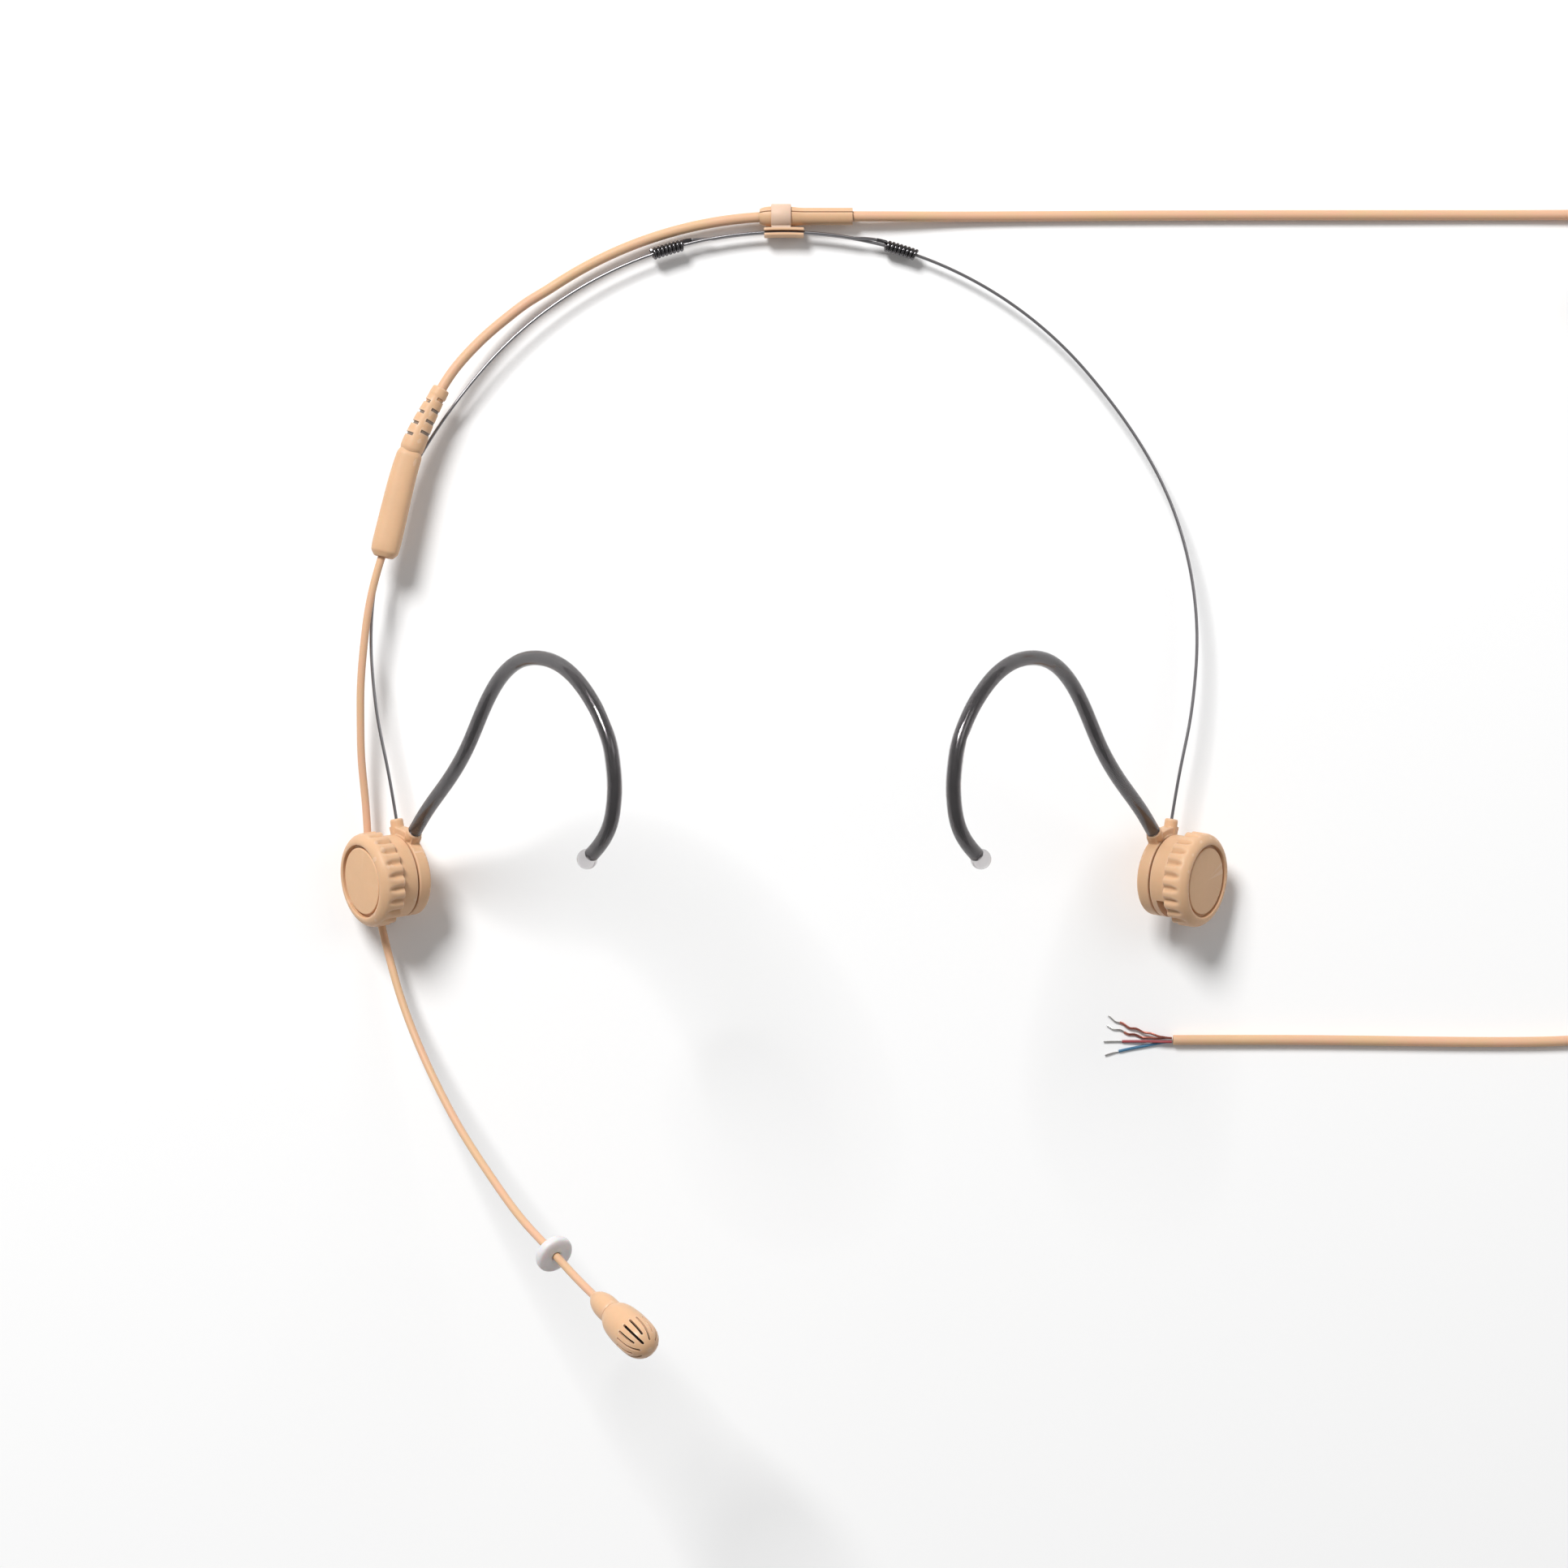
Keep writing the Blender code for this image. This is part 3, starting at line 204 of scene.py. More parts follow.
def smooth(points, spacing, slope_in=None, slope_out=None):
    """Points about `spacing` apart on the cubic spline through `points`, with given end directions if any."""
    p = np.array([tuple(q) for q in points], dtype=float)
    h = np.linalg.norm(np.diff(p, axis=0), axis=1)
    count = len(p)
    left, right = np.zeros((count, count)), np.zeros((count, 3))
    left[0, 0] = left[-1, -1] = 1.0
    for i in range(1, count - 1):
        left[i, i - 1 : i + 2] = h[i - 1], 2 * (h[i - 1] + h[i]), h[i]
        right[i] = 6 * ((p[i + 1] - p[i]) / h[i] - (p[i] - p[i - 1]) / h[i - 1])
    if slope_in is not None:
        left[0, :2] = 2 * h[0], h[0]
        right[0] = 6 * ((p[1] - p[0]) / h[0] - np.array(slope_in))
    if slope_out is not None:
        left[-1, -2:] = h[-1], 2 * h[-1]
        right[-1] = 6 * (np.array(slope_out) - (p[-1] - p[-2]) / h[-1])
    bend = np.linalg.solve(left, right)
    fine = []
    for i in range(count - 1):
        near, far = (p[k] / h[i] - bend[k] * h[i] / 6 for k in (i, i + 1))
        for t in np.linspace(0, 1, 60, endpoint=False):
            a, b = (1 - t) * h[i], t * h[i]
            curve = (bend[i] * a**3 + bend[i + 1] * b**3) / (6 * h[i])
            fine.append(curve + near * a + far * b)
    return evenly(fine + [p[-1]], spacing)


def rounded(points, size=0.15, steps=4):
    """A profile with its corners rounded. A point may carry its own size as a third number."""
    corners = [(np.array(p[:2], dtype=float), p[2] if len(p) > 2 else size) for p in points]
    line = [corners[0][0]]
    for (before, _), (corner, reach), (after, _) in zip(corners, corners[1:], corners[2:]):
        ways = [before - corner, after - corner]
        lengths = [np.linalg.norm(way) for way in ways]
        start, end = (corner + way / length * min(reach, length / 2) for way, length in zip(ways, lengths))
        for t in np.linspace(0, 1, steps + 1):
            line.append((1 - t) ** 2 * start + 2 * t * (1 - t) * corner + t**2 * end)
    line.append(corners[-1][0])
    return [tuple(p) for p in line]


def spread(profile, spacing):
    """A profile of (distance, radius) with extra points where its own are far apart."""
    line = [profile[0]]
    for (d0, r0), (d1, r1) in zip(profile, profile[1:]):
        steps = max(1, round(math.hypot(d1 - d0, r1 - r0) / spacing))
        line += [(d0 + (d1 - d0) * i / steps, r0 + (r1 - r0) * i / steps) for i in range(1, steps + 1)]
    return line


class Path:
    """A line with a steady set of cross axes, for building bodies along it."""

    def __init__(self, points, across=(0, 0, 1)):
        self.points = np.array(points, dtype=float)
        steps = np.diff(self.points, axis=0)
        self.run = np.concatenate([[0], np.cumsum(np.linalg.norm(steps, axis=1))])
        self.length = self.run[-1]
        ahead = steps / np.linalg.norm(steps, axis=1)[:, None]
        self.tangents = np.vstack([ahead[:1], ahead[:-1] + ahead[1:], ahead[-1:]])
        self.tangents /= np.linalg.norm(self.tangents, axis=1)[:, None]
        normals, last = [], np.array(across, dtype=float)
        for tangent in self.tangents:
            last = last - tangent * last.dot(tangent)
            last = last / np.linalg.norm(last)
            normals.append(last)
        self.normals = np.array(normals)

    def at(self, distance):
        """The point, tangent, normal and side at a distance along the line, which runs on past its ends."""
        inside = min(max(distance, 0.0), self.length)
        point, tangent, normal = (
            np.array([np.interp(inside, self.run, values[:, k]) for k in range(3)])
            for values in (self.points, self.tangents, self.normals)
        )
        tangent /= np.linalg.norm(tangent)
        normal = normal - tangent * normal.dot(tangent)
        normal /= np.linalg.norm(normal)
        return point + tangent * (distance - inside), tangent, normal, np.cross(tangent, normal)

    def ring(self, distance, radius, sides, outline=None):
        """A ring of points round the line. An outline gives the reach for each angle as a share of the radius."""
        point, _, normal, side = self.at(distance)
        if radius == 0:
            return [tuple(point)]
        turns = np.arange(sides) * 2 * math.pi / sides
        reach = radius * (outline(turns) if outline else np.ones(sides))
        ring = point + (reach * np.cos(turns))[:, None] * normal + (reach * np.sin(turns))[:, None] * side
        return [tuple(p) for p in ring]

    def body(self, profile, sides=24, closed=False, outline=None):
        """A body round the line from a profile of (distance, radius)."""
        return skin([self.ring(d, r, sides, outline) for d, r in profile], closed)

    def rod(self, radius, sides=24, tip=0.0, spacing=None):
        """A round rod with closed ends, whose edges are rounded by `tip`."""
        stops = self.run if spacing is None else np.linspace(0, self.length, max(2, round(self.length / spacing)))
        stops = [d for d in stops if tip < d < self.length - tip]
        turns = np.linspace(0, math.pi / 2, 5)
        start = [(tip - tip * math.cos(t), radius - tip + tip * math.sin(t)) for t in turns]
        end = [(self.length - d, r) for d, r in reversed(start)]
        return self.body([(0, 0)] + start + [(d, radius) for d in stops] + end + [(self.length, 0)], sides)


def skin(rings, closed=False):
    """Points, faces and surface places of a skin over rings of one or of n points. Open ends get a face."""
    points, starts, run = [], [], [0.0]
    for ring in rings:
        starts.append(len(points))
        points.extend(ring)
    for one, two in zip(rings, rings[1:]):
        run.append(run[-1] + math.dist(one[0], two[0]))
    pairs = [(i, i + 1) for i in range(len(rings) - 1)]
    if closed:
        pairs.append((len(rings) - 1, 0))
        run.append(run[-1] + math.dist(rings[-1][0], rings[0][0]))
    faces, places = [], []
    for one, two in pairs:
        n_one, n_two = len(rings[one]), len(rings[two])
        count = max(n_one, n_two)
        v_one, v_two = run[one], run[one + 1]
        for i in range(count):
            j = i + 1
            corners = [
                (starts[one] + i % n_one, (i / count, v_one)),
                (starts[one] + j % count % n_one, (j / count, v_one)),
                (starts[two] + j % count % n_two, (j / count, v_two)),
                (starts[two] + i % n_two, (i / count, v_two)),
            ]
            kept = list({index: place for index, place in corners}.items())
            faces.append([index for index, _ in kept])
            places.append([place for _, place in kept])
    if not closed:
        for end in (0, len(rings) - 1):
            if len(rings[end]) > 2:
                faces.append([starts[end] + i for i in range(len(rings[end]))])
                places.append([(0.0, run[end])] * len(rings[end]))
    return points, faces, places


def turned(profile, sides=96, closed=False, dip=None):
    """A body turned about z from a profile of (height, radius). `dip` takes some off the radius at an angle."""
    turns = np.arange(sides) * 2 * math.pi / sides
    rings = []
    for height, radius in profile:
        if radius == 0:
            rings.append([(0.0, 0.0, height)])
            continue
        reach = radius - (dip(height, turns) if dip and radius > GRIP_FROM else 0.0)
        xs, ys = reach * np.cos(turns), reach * np.sin(turns)
        rings.append([(x, y, height) for x, y in zip(xs, ys)])
    return skin(rings, closed)


def merged(shapes):
    """Several shapes as one."""
    points, faces, places = [], [], []
    for shape_points, shape_faces, shape_places in shapes:
        start = len(points)
        points.extend(shape_points)
        faces.extend([start + i for i in face] for face in shape_faces)
        places.extend(shape_places)
    return points, faces, places


def block(low, high):
    """A plain block between two corners, for cutting."""
    xs, ys, zs = zip(low, high)
    return skin([[(xs[i], ys[j], z) for i, j in ((0, 0), (1, 0), (1, 1), (0, 1))] for z in zs])


def draft(shape):
    """A shape as an object in millimetres, for the modelling steps that need one."""
    points, faces, _ = shape
    mesh = bpy.data.meshes.new("draft")
    mesh.from_pydata([tuple(p) for p in points], [], faces)
    bm = bmesh.new()
    bm.from_mesh(mesh)
    bmesh.ops.recalc_face_normals(bm, faces=bm.faces)
    bm.to_mesh(mesh)
    bm.free()
    obj = bpy.data.objects.new("draft", mesh)
    bpy.context.scene.collection.objects.link(obj)
    return obj


def worked(shape, voxel=None, passes=0, cut=None):
    """A shape fused into one skin of small faces and softened, if a voxel is given, and with `cut` taken out."""
    drafts = [draft(shape)]
    body = drafts[0]
    if voxel:
        fuse = body.modifiers.new("fuse", "REMESH")
        fuse.mode = "VOXEL"
        fuse.voxel_size = voxel
        soften = body.modifiers.new("soften", "SMOOTH")
        soften.factor = 0.5
        soften.iterations = passes
    if cut is not None:
        drafts.append(draft(cut))
        taken = body.modifiers.new("cut", "BOOLEAN")
        taken.operation = "DIFFERENCE"
        taken.solver = "EXACT"
        taken.object = drafts[1]
    evaluated = body.evaluated_get(bpy.context.evaluated_depsgraph_get())
    mesh = bpy.data.meshes.new_from_object(evaluated)
    points = [tuple(v.co) for v in mesh.vertices]
    faces = [list(p.vertices) for p in mesh.polygons]
    for obj in drafts:
        bpy.data.objects.remove(obj, do_unlink=True)
    return points, faces, None


def make(name, shape, finish, body=None, where=WORLD, side=LEFT, replaces=(), crease=38.0):
    """A piece from a shape in millimetres. It rides on a body, and stands for the nodes that it replaces."""
    points, faces, places = shape
    co = np.array(points, dtype=float)
    if side == RIGHT:
        co[:, 0] *= -1
    matrix = np.array(where)
    co = co @ matrix[:3, :3].T + matrix[:3, 3]
    mesh = bpy.data.meshes.new(name)
    mesh.from_pydata(co.tolist(), [], faces)
    if places is not None:
        layer = mesh.uv_layers.new(name="surface")
        layer.data.foreach_set("uv", np.array([c for face in places for c in face], dtype=np.float32).ravel())
    bm = bmesh.new()
    bm.from_mesh(mesh)
    bmesh.ops.recalc_face_normals(bm, faces=bm.faces)
    bm.to_mesh(mesh)
    bm.free()
    mesh.shade_smooth()
    mesh.set_sharp_from_angle(angle=math.radians(crease))
    mesh.materials.append(bpy.data.materials[finish])
    obj = bpy.data.objects.new(name, mesh)
    bpy.context.scene.collection.objects.link(obj)
    if body:
        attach(obj, body)
    if replaces:
        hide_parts(*replaces)
    finish in SLOTTED
    return obj


# ---- finishes ----

SLOTTED = {  # finish to the record's material slot
    "soft_plastic": "tan_plastic",
    "capsule_plastic": "tan_plastic",
    "disc_plastic": "cap_plastic",
    "loop_plastic": "clip_plastic",
    "core_rubber": "tan_plastic",
    "cable_skin": "cable_jacket",
    "wire_steel": "spring_steel",
    "coil_steel": "spring_steel",
    "hook_steel": "spring_steel",
    "tube_silicone": "clear_tube",
    "guard_silicone": "white_silicone",
    "strap_weave": "nylon",
    "bare_copper": "copper",
    "red_skin": "red_insulation",
    "blue_skin": "blue_insulation",
}


class Value:
    """One shader value. Python's operators on it add the Math nodes."""

    def __init__(self, finish, socket):
        self.finish, self.socket = finish, socket

    def math(self, operation, *values, clamp=False):
        settings = {"operation": operation, "use_clamp": clamp}
        return self.finish.node("ShaderNodeMath", settings, dict(enumerate(values)))

    def __add__(self, other):
        return self.math("ADD", self, other)

    __radd__ = __add__

    def __sub__(self, other):
        return self.math("SUBTRACT", self, other)

    def __rsub__(self, other):
        return self.math("SUBTRACT", other, self)

    def __mul__(self, other):
        return self.math("MULTIPLY", self, other)

    __rmul__ = __mul__

    def sine(self):
        return self.math("SINE", self)

    def held(self):
        """Kept from 0 to 1."""
        return self.math("ADD", self, 0.0, clamp=True)


class Finish:
    """A material under construction round its Principled shader. Constants are set on the shader's own sockets."""

    def __init__(self, name, **constants):
        self.material = bpy.data.materials.new(name)
        self.material.use_nodes = True
        self.tree = self.material.node_tree
        self.shader = self.tree.nodes["Principled BSDF"]
        for socket, value in constants.items():
            self.shader.inputs[socket.replace("_", " ")].default_value = value

    def node(self, kind, settings=None, sockets=None, output=0):
        """Adds a node: its settings first, then the values or links of its sockets. Gives one of its outputs."""
        node = self.tree.nodes.new(kind)
        for key, value in (settings or {}).items():
            if key == "stops":
                while len(node.color_ramp.elements) < len(value):
                    node.color_ramp.elements.new(0.5)
                for element, (position, colour) in zip(node.color_ramp.elements, value):
                    element.position = position
                    element.color = (*colour, 1.0)
            else:
                setattr(node, key, value)
        for key, value in (sockets or {}).items():
            self.feed(node.inputs[key], value)
        return Value(self, node.outputs[output])

    def feed(self, socket, value):
        if isinstance(value, Value):
            self.tree.links.new(value.socket, socket)
        elif hasattr(value, "__len__") and len(value) == 3 and socket.type == "RGBA":
            socket.default_value = (*value, 1.0)
        else:
            socket.default_value = value

    def place(self, kind="Object"):
        return self.node("ShaderNodeTexCoord", output=kind)

    def along(self, *axes):
        """The object's own places along some of its axes."""
        return [self.node("ShaderNodeSeparateXYZ", None, {0: self.place()}, axis) for axis in axes]

    def stretched(self, place, scale):
        """A place with its axes scaled apart."""
        return self.node("ShaderNodeVectorMath", {"operation": "MULTIPLY"}, {0: place, 1: scale})

    def noise(self, place, scale, detail=2.0, roughness=0.5):
        sockets = {"Vector": place, "Scale": scale, "Detail": detail, "Roughness": roughness}
        return self.node("ShaderNodeTexNoise", None, sockets, "Fac")

    def mix(self, factor, one, two, blend="MIX"):
        """A colour between two."""
        settings = {"data_type": "RGBA", "blend_type": blend}
        return self.node("ShaderNodeMix", settings, {0: factor, 6: one, 7: two}, 2)

    def edges(self, gain):
        """0 in creases, 0.5 on even surfaces and 1 on edges."""
        pointed = self.node("ShaderNodeNewGeometry", output="Pointiness")
        return ((pointed - 0.5) * gain + 0.5).held()

    def set(self, **values):
        for socket, value in values.items():
            self.feed(self.shader.inputs[socket.replace("_", " ")], value)

    def bump(self, height, distance, strength=1.0):
        """Relief of a height from 0 to 1, over a distance in millimetres."""
        sockets = {"Height": height, "Distance": distance * MM, "Strength": strength}
        self.set(Normal=self.node("ShaderNodeBump", None, sockets))


def shade(colour, gain):
    return tuple(min(1.0, c * gain) for c in colour)


def plastic(name, colour, gloss=0.46, grain=0.012):
    """Satin moulded plastic: warm mottling, a fine eroded grain, painted shade darkening the creases and slightly
    polished edges.
    """
    finish = Finish(name, Specular_IOR_Level=0.27, Subsurface_Weight=0.1, Subsurface_Scale=0.0005)
    place = finish.place()
    mottle = finish.noise(place, 260.0, 3.0)
    cloud = finish.noise(place, 1500.0, 4.0, 0.6)
    fine = finish.noise(place, 11000.0, 2.0)
    edges = finish.edges(9.0)
    tone = finish.mix(mottle, shade(colour, 0.94), shade(colour, 1.05))
    tone = finish.mix((cloud - 0.35).held() * 0.35, tone, shade(colour, 0.86))
    pale = tuple(c + (1.0 - c) * 0.14 for c in colour)
    tone = finish.mix(((edges - 0.56) * 1.6).held(), tone, pale)
    # Painted shade: the creases are darkened and browned to stand in for the shade that falls in them.
    painted_crease_shade = tuple(c * k for c, k in zip(colour, (0.66, 0.56, 0.5)))
    tone = finish.mix(((0.44 - edges) * 1.5).held(), tone, painted_crease_shade)
    finish.set(Base_Color=tone, Roughness=(gloss + (cloud - 0.5) * 0.16 - (edges - 0.5).held() * 0.12).held())
    finish.bump(fine * 0.7 + cloud * 0.3, grain)


def jacket(name, colour):
    """Extruded elastomer: faint bands of pinker and yellower batches, fine lengthwise drawing and a dull skin."""
    finish = Finish(name, Specular_IOR_Level=0.35, Subsurface_Weight=0.15, Subsurface_Scale=0.0005)
    place = finish.place()
    batch = finish.noise(place, 130.0, 2.0)
    blush = tuple(c * k for c, k in zip(colour, (1.04, 0.97, 0.99)))
    straw = tuple(c * k for c, k in zip(colour, (1.0, 1.01, 0.93)))
    surface = finish.place("UV")
    drawn = finish.noise(finish.stretched(surface, (46.0, 0.35, 1.0)), 1.0, 3.0, 0.6)
    fine = finish.noise(place, 8000.0, 2.0)
    tone = finish.mix(((batch - 0.38) * 4.0).held(), straw, blush)
    tone = finish.mix((drawn - 0.45).held() * 0.5, tone, shade(colour, 0.88))
    finish.set(Base_Color=tone, Roughness=0.5 + (drawn - 0.5) * 0.2)
    finish.bump(fine * 0.5 + drawn * 0.5, 0.012)


def insulation(name, colour):
    """Thin coloured insulation, slightly glossy, with faint drawing marks along it."""
    finish = Finish(name, Specular_IOR_Level=0.5, Subsurface_Weight=0.1, Subsurface_Scale=0.0003)
    surface = finish.place("UV")
    drawn = finish.noise(finish.stretched(surface, (22.0, 0.8, 1.0)), 1.0, 3.0)
    fine = finish.noise(finish.place(), 5000.0, 2.0)
    finish.set(Base_Color=finish.mix(drawn, shade(colour, 0.8), shade(colour, 1.2)), Roughness=0.34 + fine * 0.12)
    finish.bump(drawn, 0.01)


def steel(name, colour, drawn_share, rough, across=30.0, along=0.25):
    """Steel wire with fine drawing marks along it and clouds of darker oxide."""
    finish = Finish(name, IOR=2.2)
    surface = finish.place("UV")
    drawn = finish.noise(finish.stretched(surface, (across, along, 1.0)), 1.0, 4.0, 0.7)
    cloud = finish.noise(finish.place(), 900.0, 3.0)
    tone = finish.mix(drawn * drawn_share + cloud * (1.0 - drawn_share), shade(colour, 0.72), shade(colour, 1.3))
    finish.set(Base_Color=tone, Metallic=0.92 + cloud * 0.08, Roughness=rough + (drawn - 0.5) * 0.16)
    finish.bump(drawn, 0.006)


def metal(name, colour, rough):
    """Machined metal, with the fine rings of its turning and a little tarnish."""
    finish = Finish(name)
    place = finish.place()
    cloud = finish.noise(place, 700.0, 4.0)
    rings = (finish.node("ShaderNodeSeparateXYZ", None, {0: place}, "Z") * 60000.0).sine()
    finish.set(Base_Color=finish.mix(cloud, shade(colour, 0.75), shade(colour, 1.15)), Metallic=0.95 + cloud * 0.05)
    finish.set(Roughness=rough + rings * 0.04 + (cloud - 0.5) * 0.15)
    finish.bump(rings * 0.5 + 0.5, 0.004)


def clear_silicone():
    """A clear grey-tinted tube with faint haze and a slightly wavy skin."""
    finish = Finish("tube_silicone", Transmission_Weight=0.96, IOR=1.41)
    place = finish.place()
    haze = finish.noise(place, 420.0, 3.0)
    wave = finish.noise(place, 700.0, 2.0)
    finish.set(Base_Color=finish.mix(haze, (0.5, 0.48, 0.49), (0.74, 0.72, 0.72)))
    finish.set(Roughness=0.05 + (haze - 0.4).held() * 0.14)
    finish.bump(wave, 0.02)


def milky_silicone():
    """Soft translucent white silicone with a dusty skin and faint flow marks."""
    finish = Finish("guard_silicone", Subsurface_Weight=0.5, Subsurface_Scale=0.0012, Transmission_Weight=0.12)
    place = finish.place()
    flow = finish.noise(place, 900.0, 3.0)
    fine = finish.noise(place, 7000.0, 2.0)
    finish.set(Base_Color=finish.mix(flow, (0.74, 0.735, 0.74), (0.87, 0.86, 0.855)))
    finish.set(Roughness=0.42 + (flow - 0.5) * 0.2)
    finish.bump(fine * 0.5 + flow * 0.5, 0.02)


def dark_screen():
    """Fine woven screen behind the slots."""
    finish = Finish("screen_weave")
    x, y, z = finish.along("X", "Y", "Z")
    weave = ((x + y) * 42000.0).sine() * ((z - y) * 42000.0).sine()
    weave = (weave * 0.5 + 0.5).held()
    finish.set(Base_Color=finish.mix(weave, (0.006, 0.0035, 0.002), (0.035, 0.02, 0.012)))
    finish.set(Roughness=0.75 - weave * 0.2, Metallic=weave * 0.4)
    finish.bump(weave, 0.05)


def copper():
    """Bare stranded copper, pinker where it is clean and brown where it has tarnished."""
    finish = Finish("bare_copper")
    place = finish.place()
    tarnish = finish.noise(place, 1400.0, 4.0, 0.6)
    tone = finish.mix(((tarnish - 0.4) * 3.0).held(), (0.5, 0.19, 0.14), (0.27, 0.085, 0.07))
    finish.set(Base_Color=tone, Metallic=0.85 + tarnish * 0.1, Roughness=0.28 + tarnish * 0.25)
    finish.bump(tarnish, 0.01)


def strap():
    """Woven nylon strap, with ribs across it."""
    finish = Finish("strap_weave", Sheen_Weight=0.2)
    x, y, z = finish.along("X", "Y", "Z")
    ribs = ((x + z) * 15000.0).sine() * (y * 12000.0).sine()
    ribs = (ribs * 0.5 + 0.5).held()
    fuzz = finish.noise(finish.place(), 6000.0, 3.0)
    finish.set(Base_Color=finish.mix(ribs * 0.7 + fuzz * 0.3, (0.05, 0.05, 0.055), (0.14, 0.14, 0.15)))
    finish.set(Roughness=0.7 + fuzz * 0.2)
    finish.bump(ribs, 0.08)


def floor_paper(colour):
    """Plain dull paper with a faint fibre."""
    finish = Finish("floor_paper", Specular_IOR_Level=0.15)
    fibre = finish.noise(finish.place(), 900.0, 3.0)
    finish.set(Base_Color=finish.mix(fibre, shade(colour, 0.992), colour), Roughness=0.85 + fibre * 0.1)


# ---- properties ----


def length_property(name, description, millimetres):
    return FloatProperty(name=name, description=description, default=millimetres * MM, unit="LENGTH", precision=5)


def colour_property(name, description, colour):
    return FloatVectorProperty(name=name, description=description, default=colour, subtype="COLOR", min=0, max=1)


class HeadsetSizes(bpy.types.PropertyGroup):
    cord_length: length_property("Cord length", "Length of the free cord, from the clip to its bare end", 1500.0)
    cord_diameter: length_property("Cord diameter", "Outer diameter of the free cord and the main cable", 1.6)
    lead_diameter: length_property("Lead diameter", "Outer diameter of the lead between the hub and the joint", 1.2)
    boom_diameter: length_property("Boom diameter", "Outer diameter of the boom", 1.2)
    tube_diameter: length_property("Hook tube diameter", "Outer diameter of the ear hooks' clear tube", 2.2)
    core_diameter: length_property("Hook wire diameter", "Diameter of the wire in the ear hooks", 1.4)


class HeadsetColours(bpy.types.PropertyGroup):
    plastic: colour_property("Plastic", "Colour of the moulded pieces", (0.72, 0.45, 0.265))
    disc: colour_property("Knob disc", "Colour of the discs in the knobs", (0.76, 0.465, 0.26))
    loop: colour_property("Clip loop", "Colour of the clip's loop", (0.71, 0.48, 0.34))
    jacket: colour_property("Cable", "Colour of the cables and the boom", (0.71, 0.455, 0.29))
    red: colour_property("Red lead", "Colour of the red insulation", (0.34, 0.055, 0.065))
    blue: colour_property("Blue lead", "Colour of the blue insulation", (0.05, 0.17, 0.3))


class StageSettings(bpy.types.PropertyGroup):
    camera_height: FloatProperty(name="Camera height", description="Of the camera above the floor", default=0.6,
                                 unit="LENGTH")
    lens: FloatProperty(name="Lens", description="Focal length in millimetres", default=88.02)
    floor: colour_property("Floor", "Colour of the floor", (0.985, 0.985, 0.985))
    key: FloatProperty(name="Key light", description="Power of the main light in watts", default=2.6)


# ---- stage ----


def area_light(name, place, size, power):
    """A round soft light, turned to the middle of the floor."""
    data = bpy.data.lights.new(name, "AREA")
    data.shape = "DISK"
    data.size = size
    data.energy = power
    light = bpy.data.objects.new(name, data)
    light.location = place
    light.rotation_mode = "QUATERNION"
    light.rotation_quaternion = (-Vector(place)).to_track_quat("-Z", "Y")
    bpy.context.scene.collection.objects.link(light)


class HEADSET_OT_stage(bpy.types.Operator):
    """Sets the camera above the headset, the pale floor and the soft lights"""

    bl_idname = "headset.stage"
    bl_label = "Stage"

    def execute(self, context):
        stage = context.scene.headset_stage
        camera = bpy.data.objects.new("camera", bpy.data.cameras.new("camera"))
        camera.data.sensor_width = 36.0
        camera.data.lens = stage.lens
        camera.location = (0.0, -MIDDLE_Y * MM, stage.camera_height)
        context.scene.collection.objects.link(camera)
        context.scene.camera = camera
        floor_paper(stage.floor)
        bpy.ops.mesh.primitive_grid_add(x_subdivisions=8, y_subdivisions=8, size=6.0)
        floor = context.active_object
        floor.name = "floor"
        floor.data.materials.append(bpy.data.materials["floor_paper"])
        area_light("key_light", (-0.5, 0.92, 1.15), 0.55, stage.key * 9.2)
        area_light("fill_light", (0.75, 0.35, 0.9), 0.6, stage.key * 0.6)
        world = bpy.data.worlds.new("studio")
        world.use_nodes = True
        background = world.node_tree.nodes["Background"]
        background.inputs["Color"].default_value = (1.0, 1.0, 1.0, 1.0)
        background.inputs["Strength"].default_value = 0.25
        context.scene.world = world
        context.scene.view_settings.view_transform = "Standard"
        return {"FINISHED"}


# ---- free cord ----


def coil_line():
    """The coil's turns: four layers of them, wound inwards and outwards by turns, from its back to its right."""
    turns = []
    for layer in range(CORD_LAYERS):
        radii = COIL_RADII if layer % 2 == 0 else COIL_RADII[::-1]
        turns += [(radius, COIL_FLOOR + CORD_RISE * layer) for radius in radii]
    x, y = COIL_CENTRE
    points = []
    for i in range(int(CORD_TURNS * CORD_STEPS) + 1):
        turn, share = divmod(i / CORD_STEPS, 1.0)
        (r0, z0), (r1, z1) = turns[int(turn)], turns[min(int(turn) + 1, len(turns) - 1)]
        ease = max(0.0, (share - CORD_HELD) / (1 - CORD_HELD))
        ease = ease * ease * (3 - 2 * ease)
        radius, height = r0 + (r1 - r0) * ease, z0 + (z1 - z0) * ease
        angle = math.pi / 2 - 2 * math.pi * (turn + share)
        points.append((x + radius * math.cos(angle), y + radius * math.sin(angle), height))
    return shifted(points)


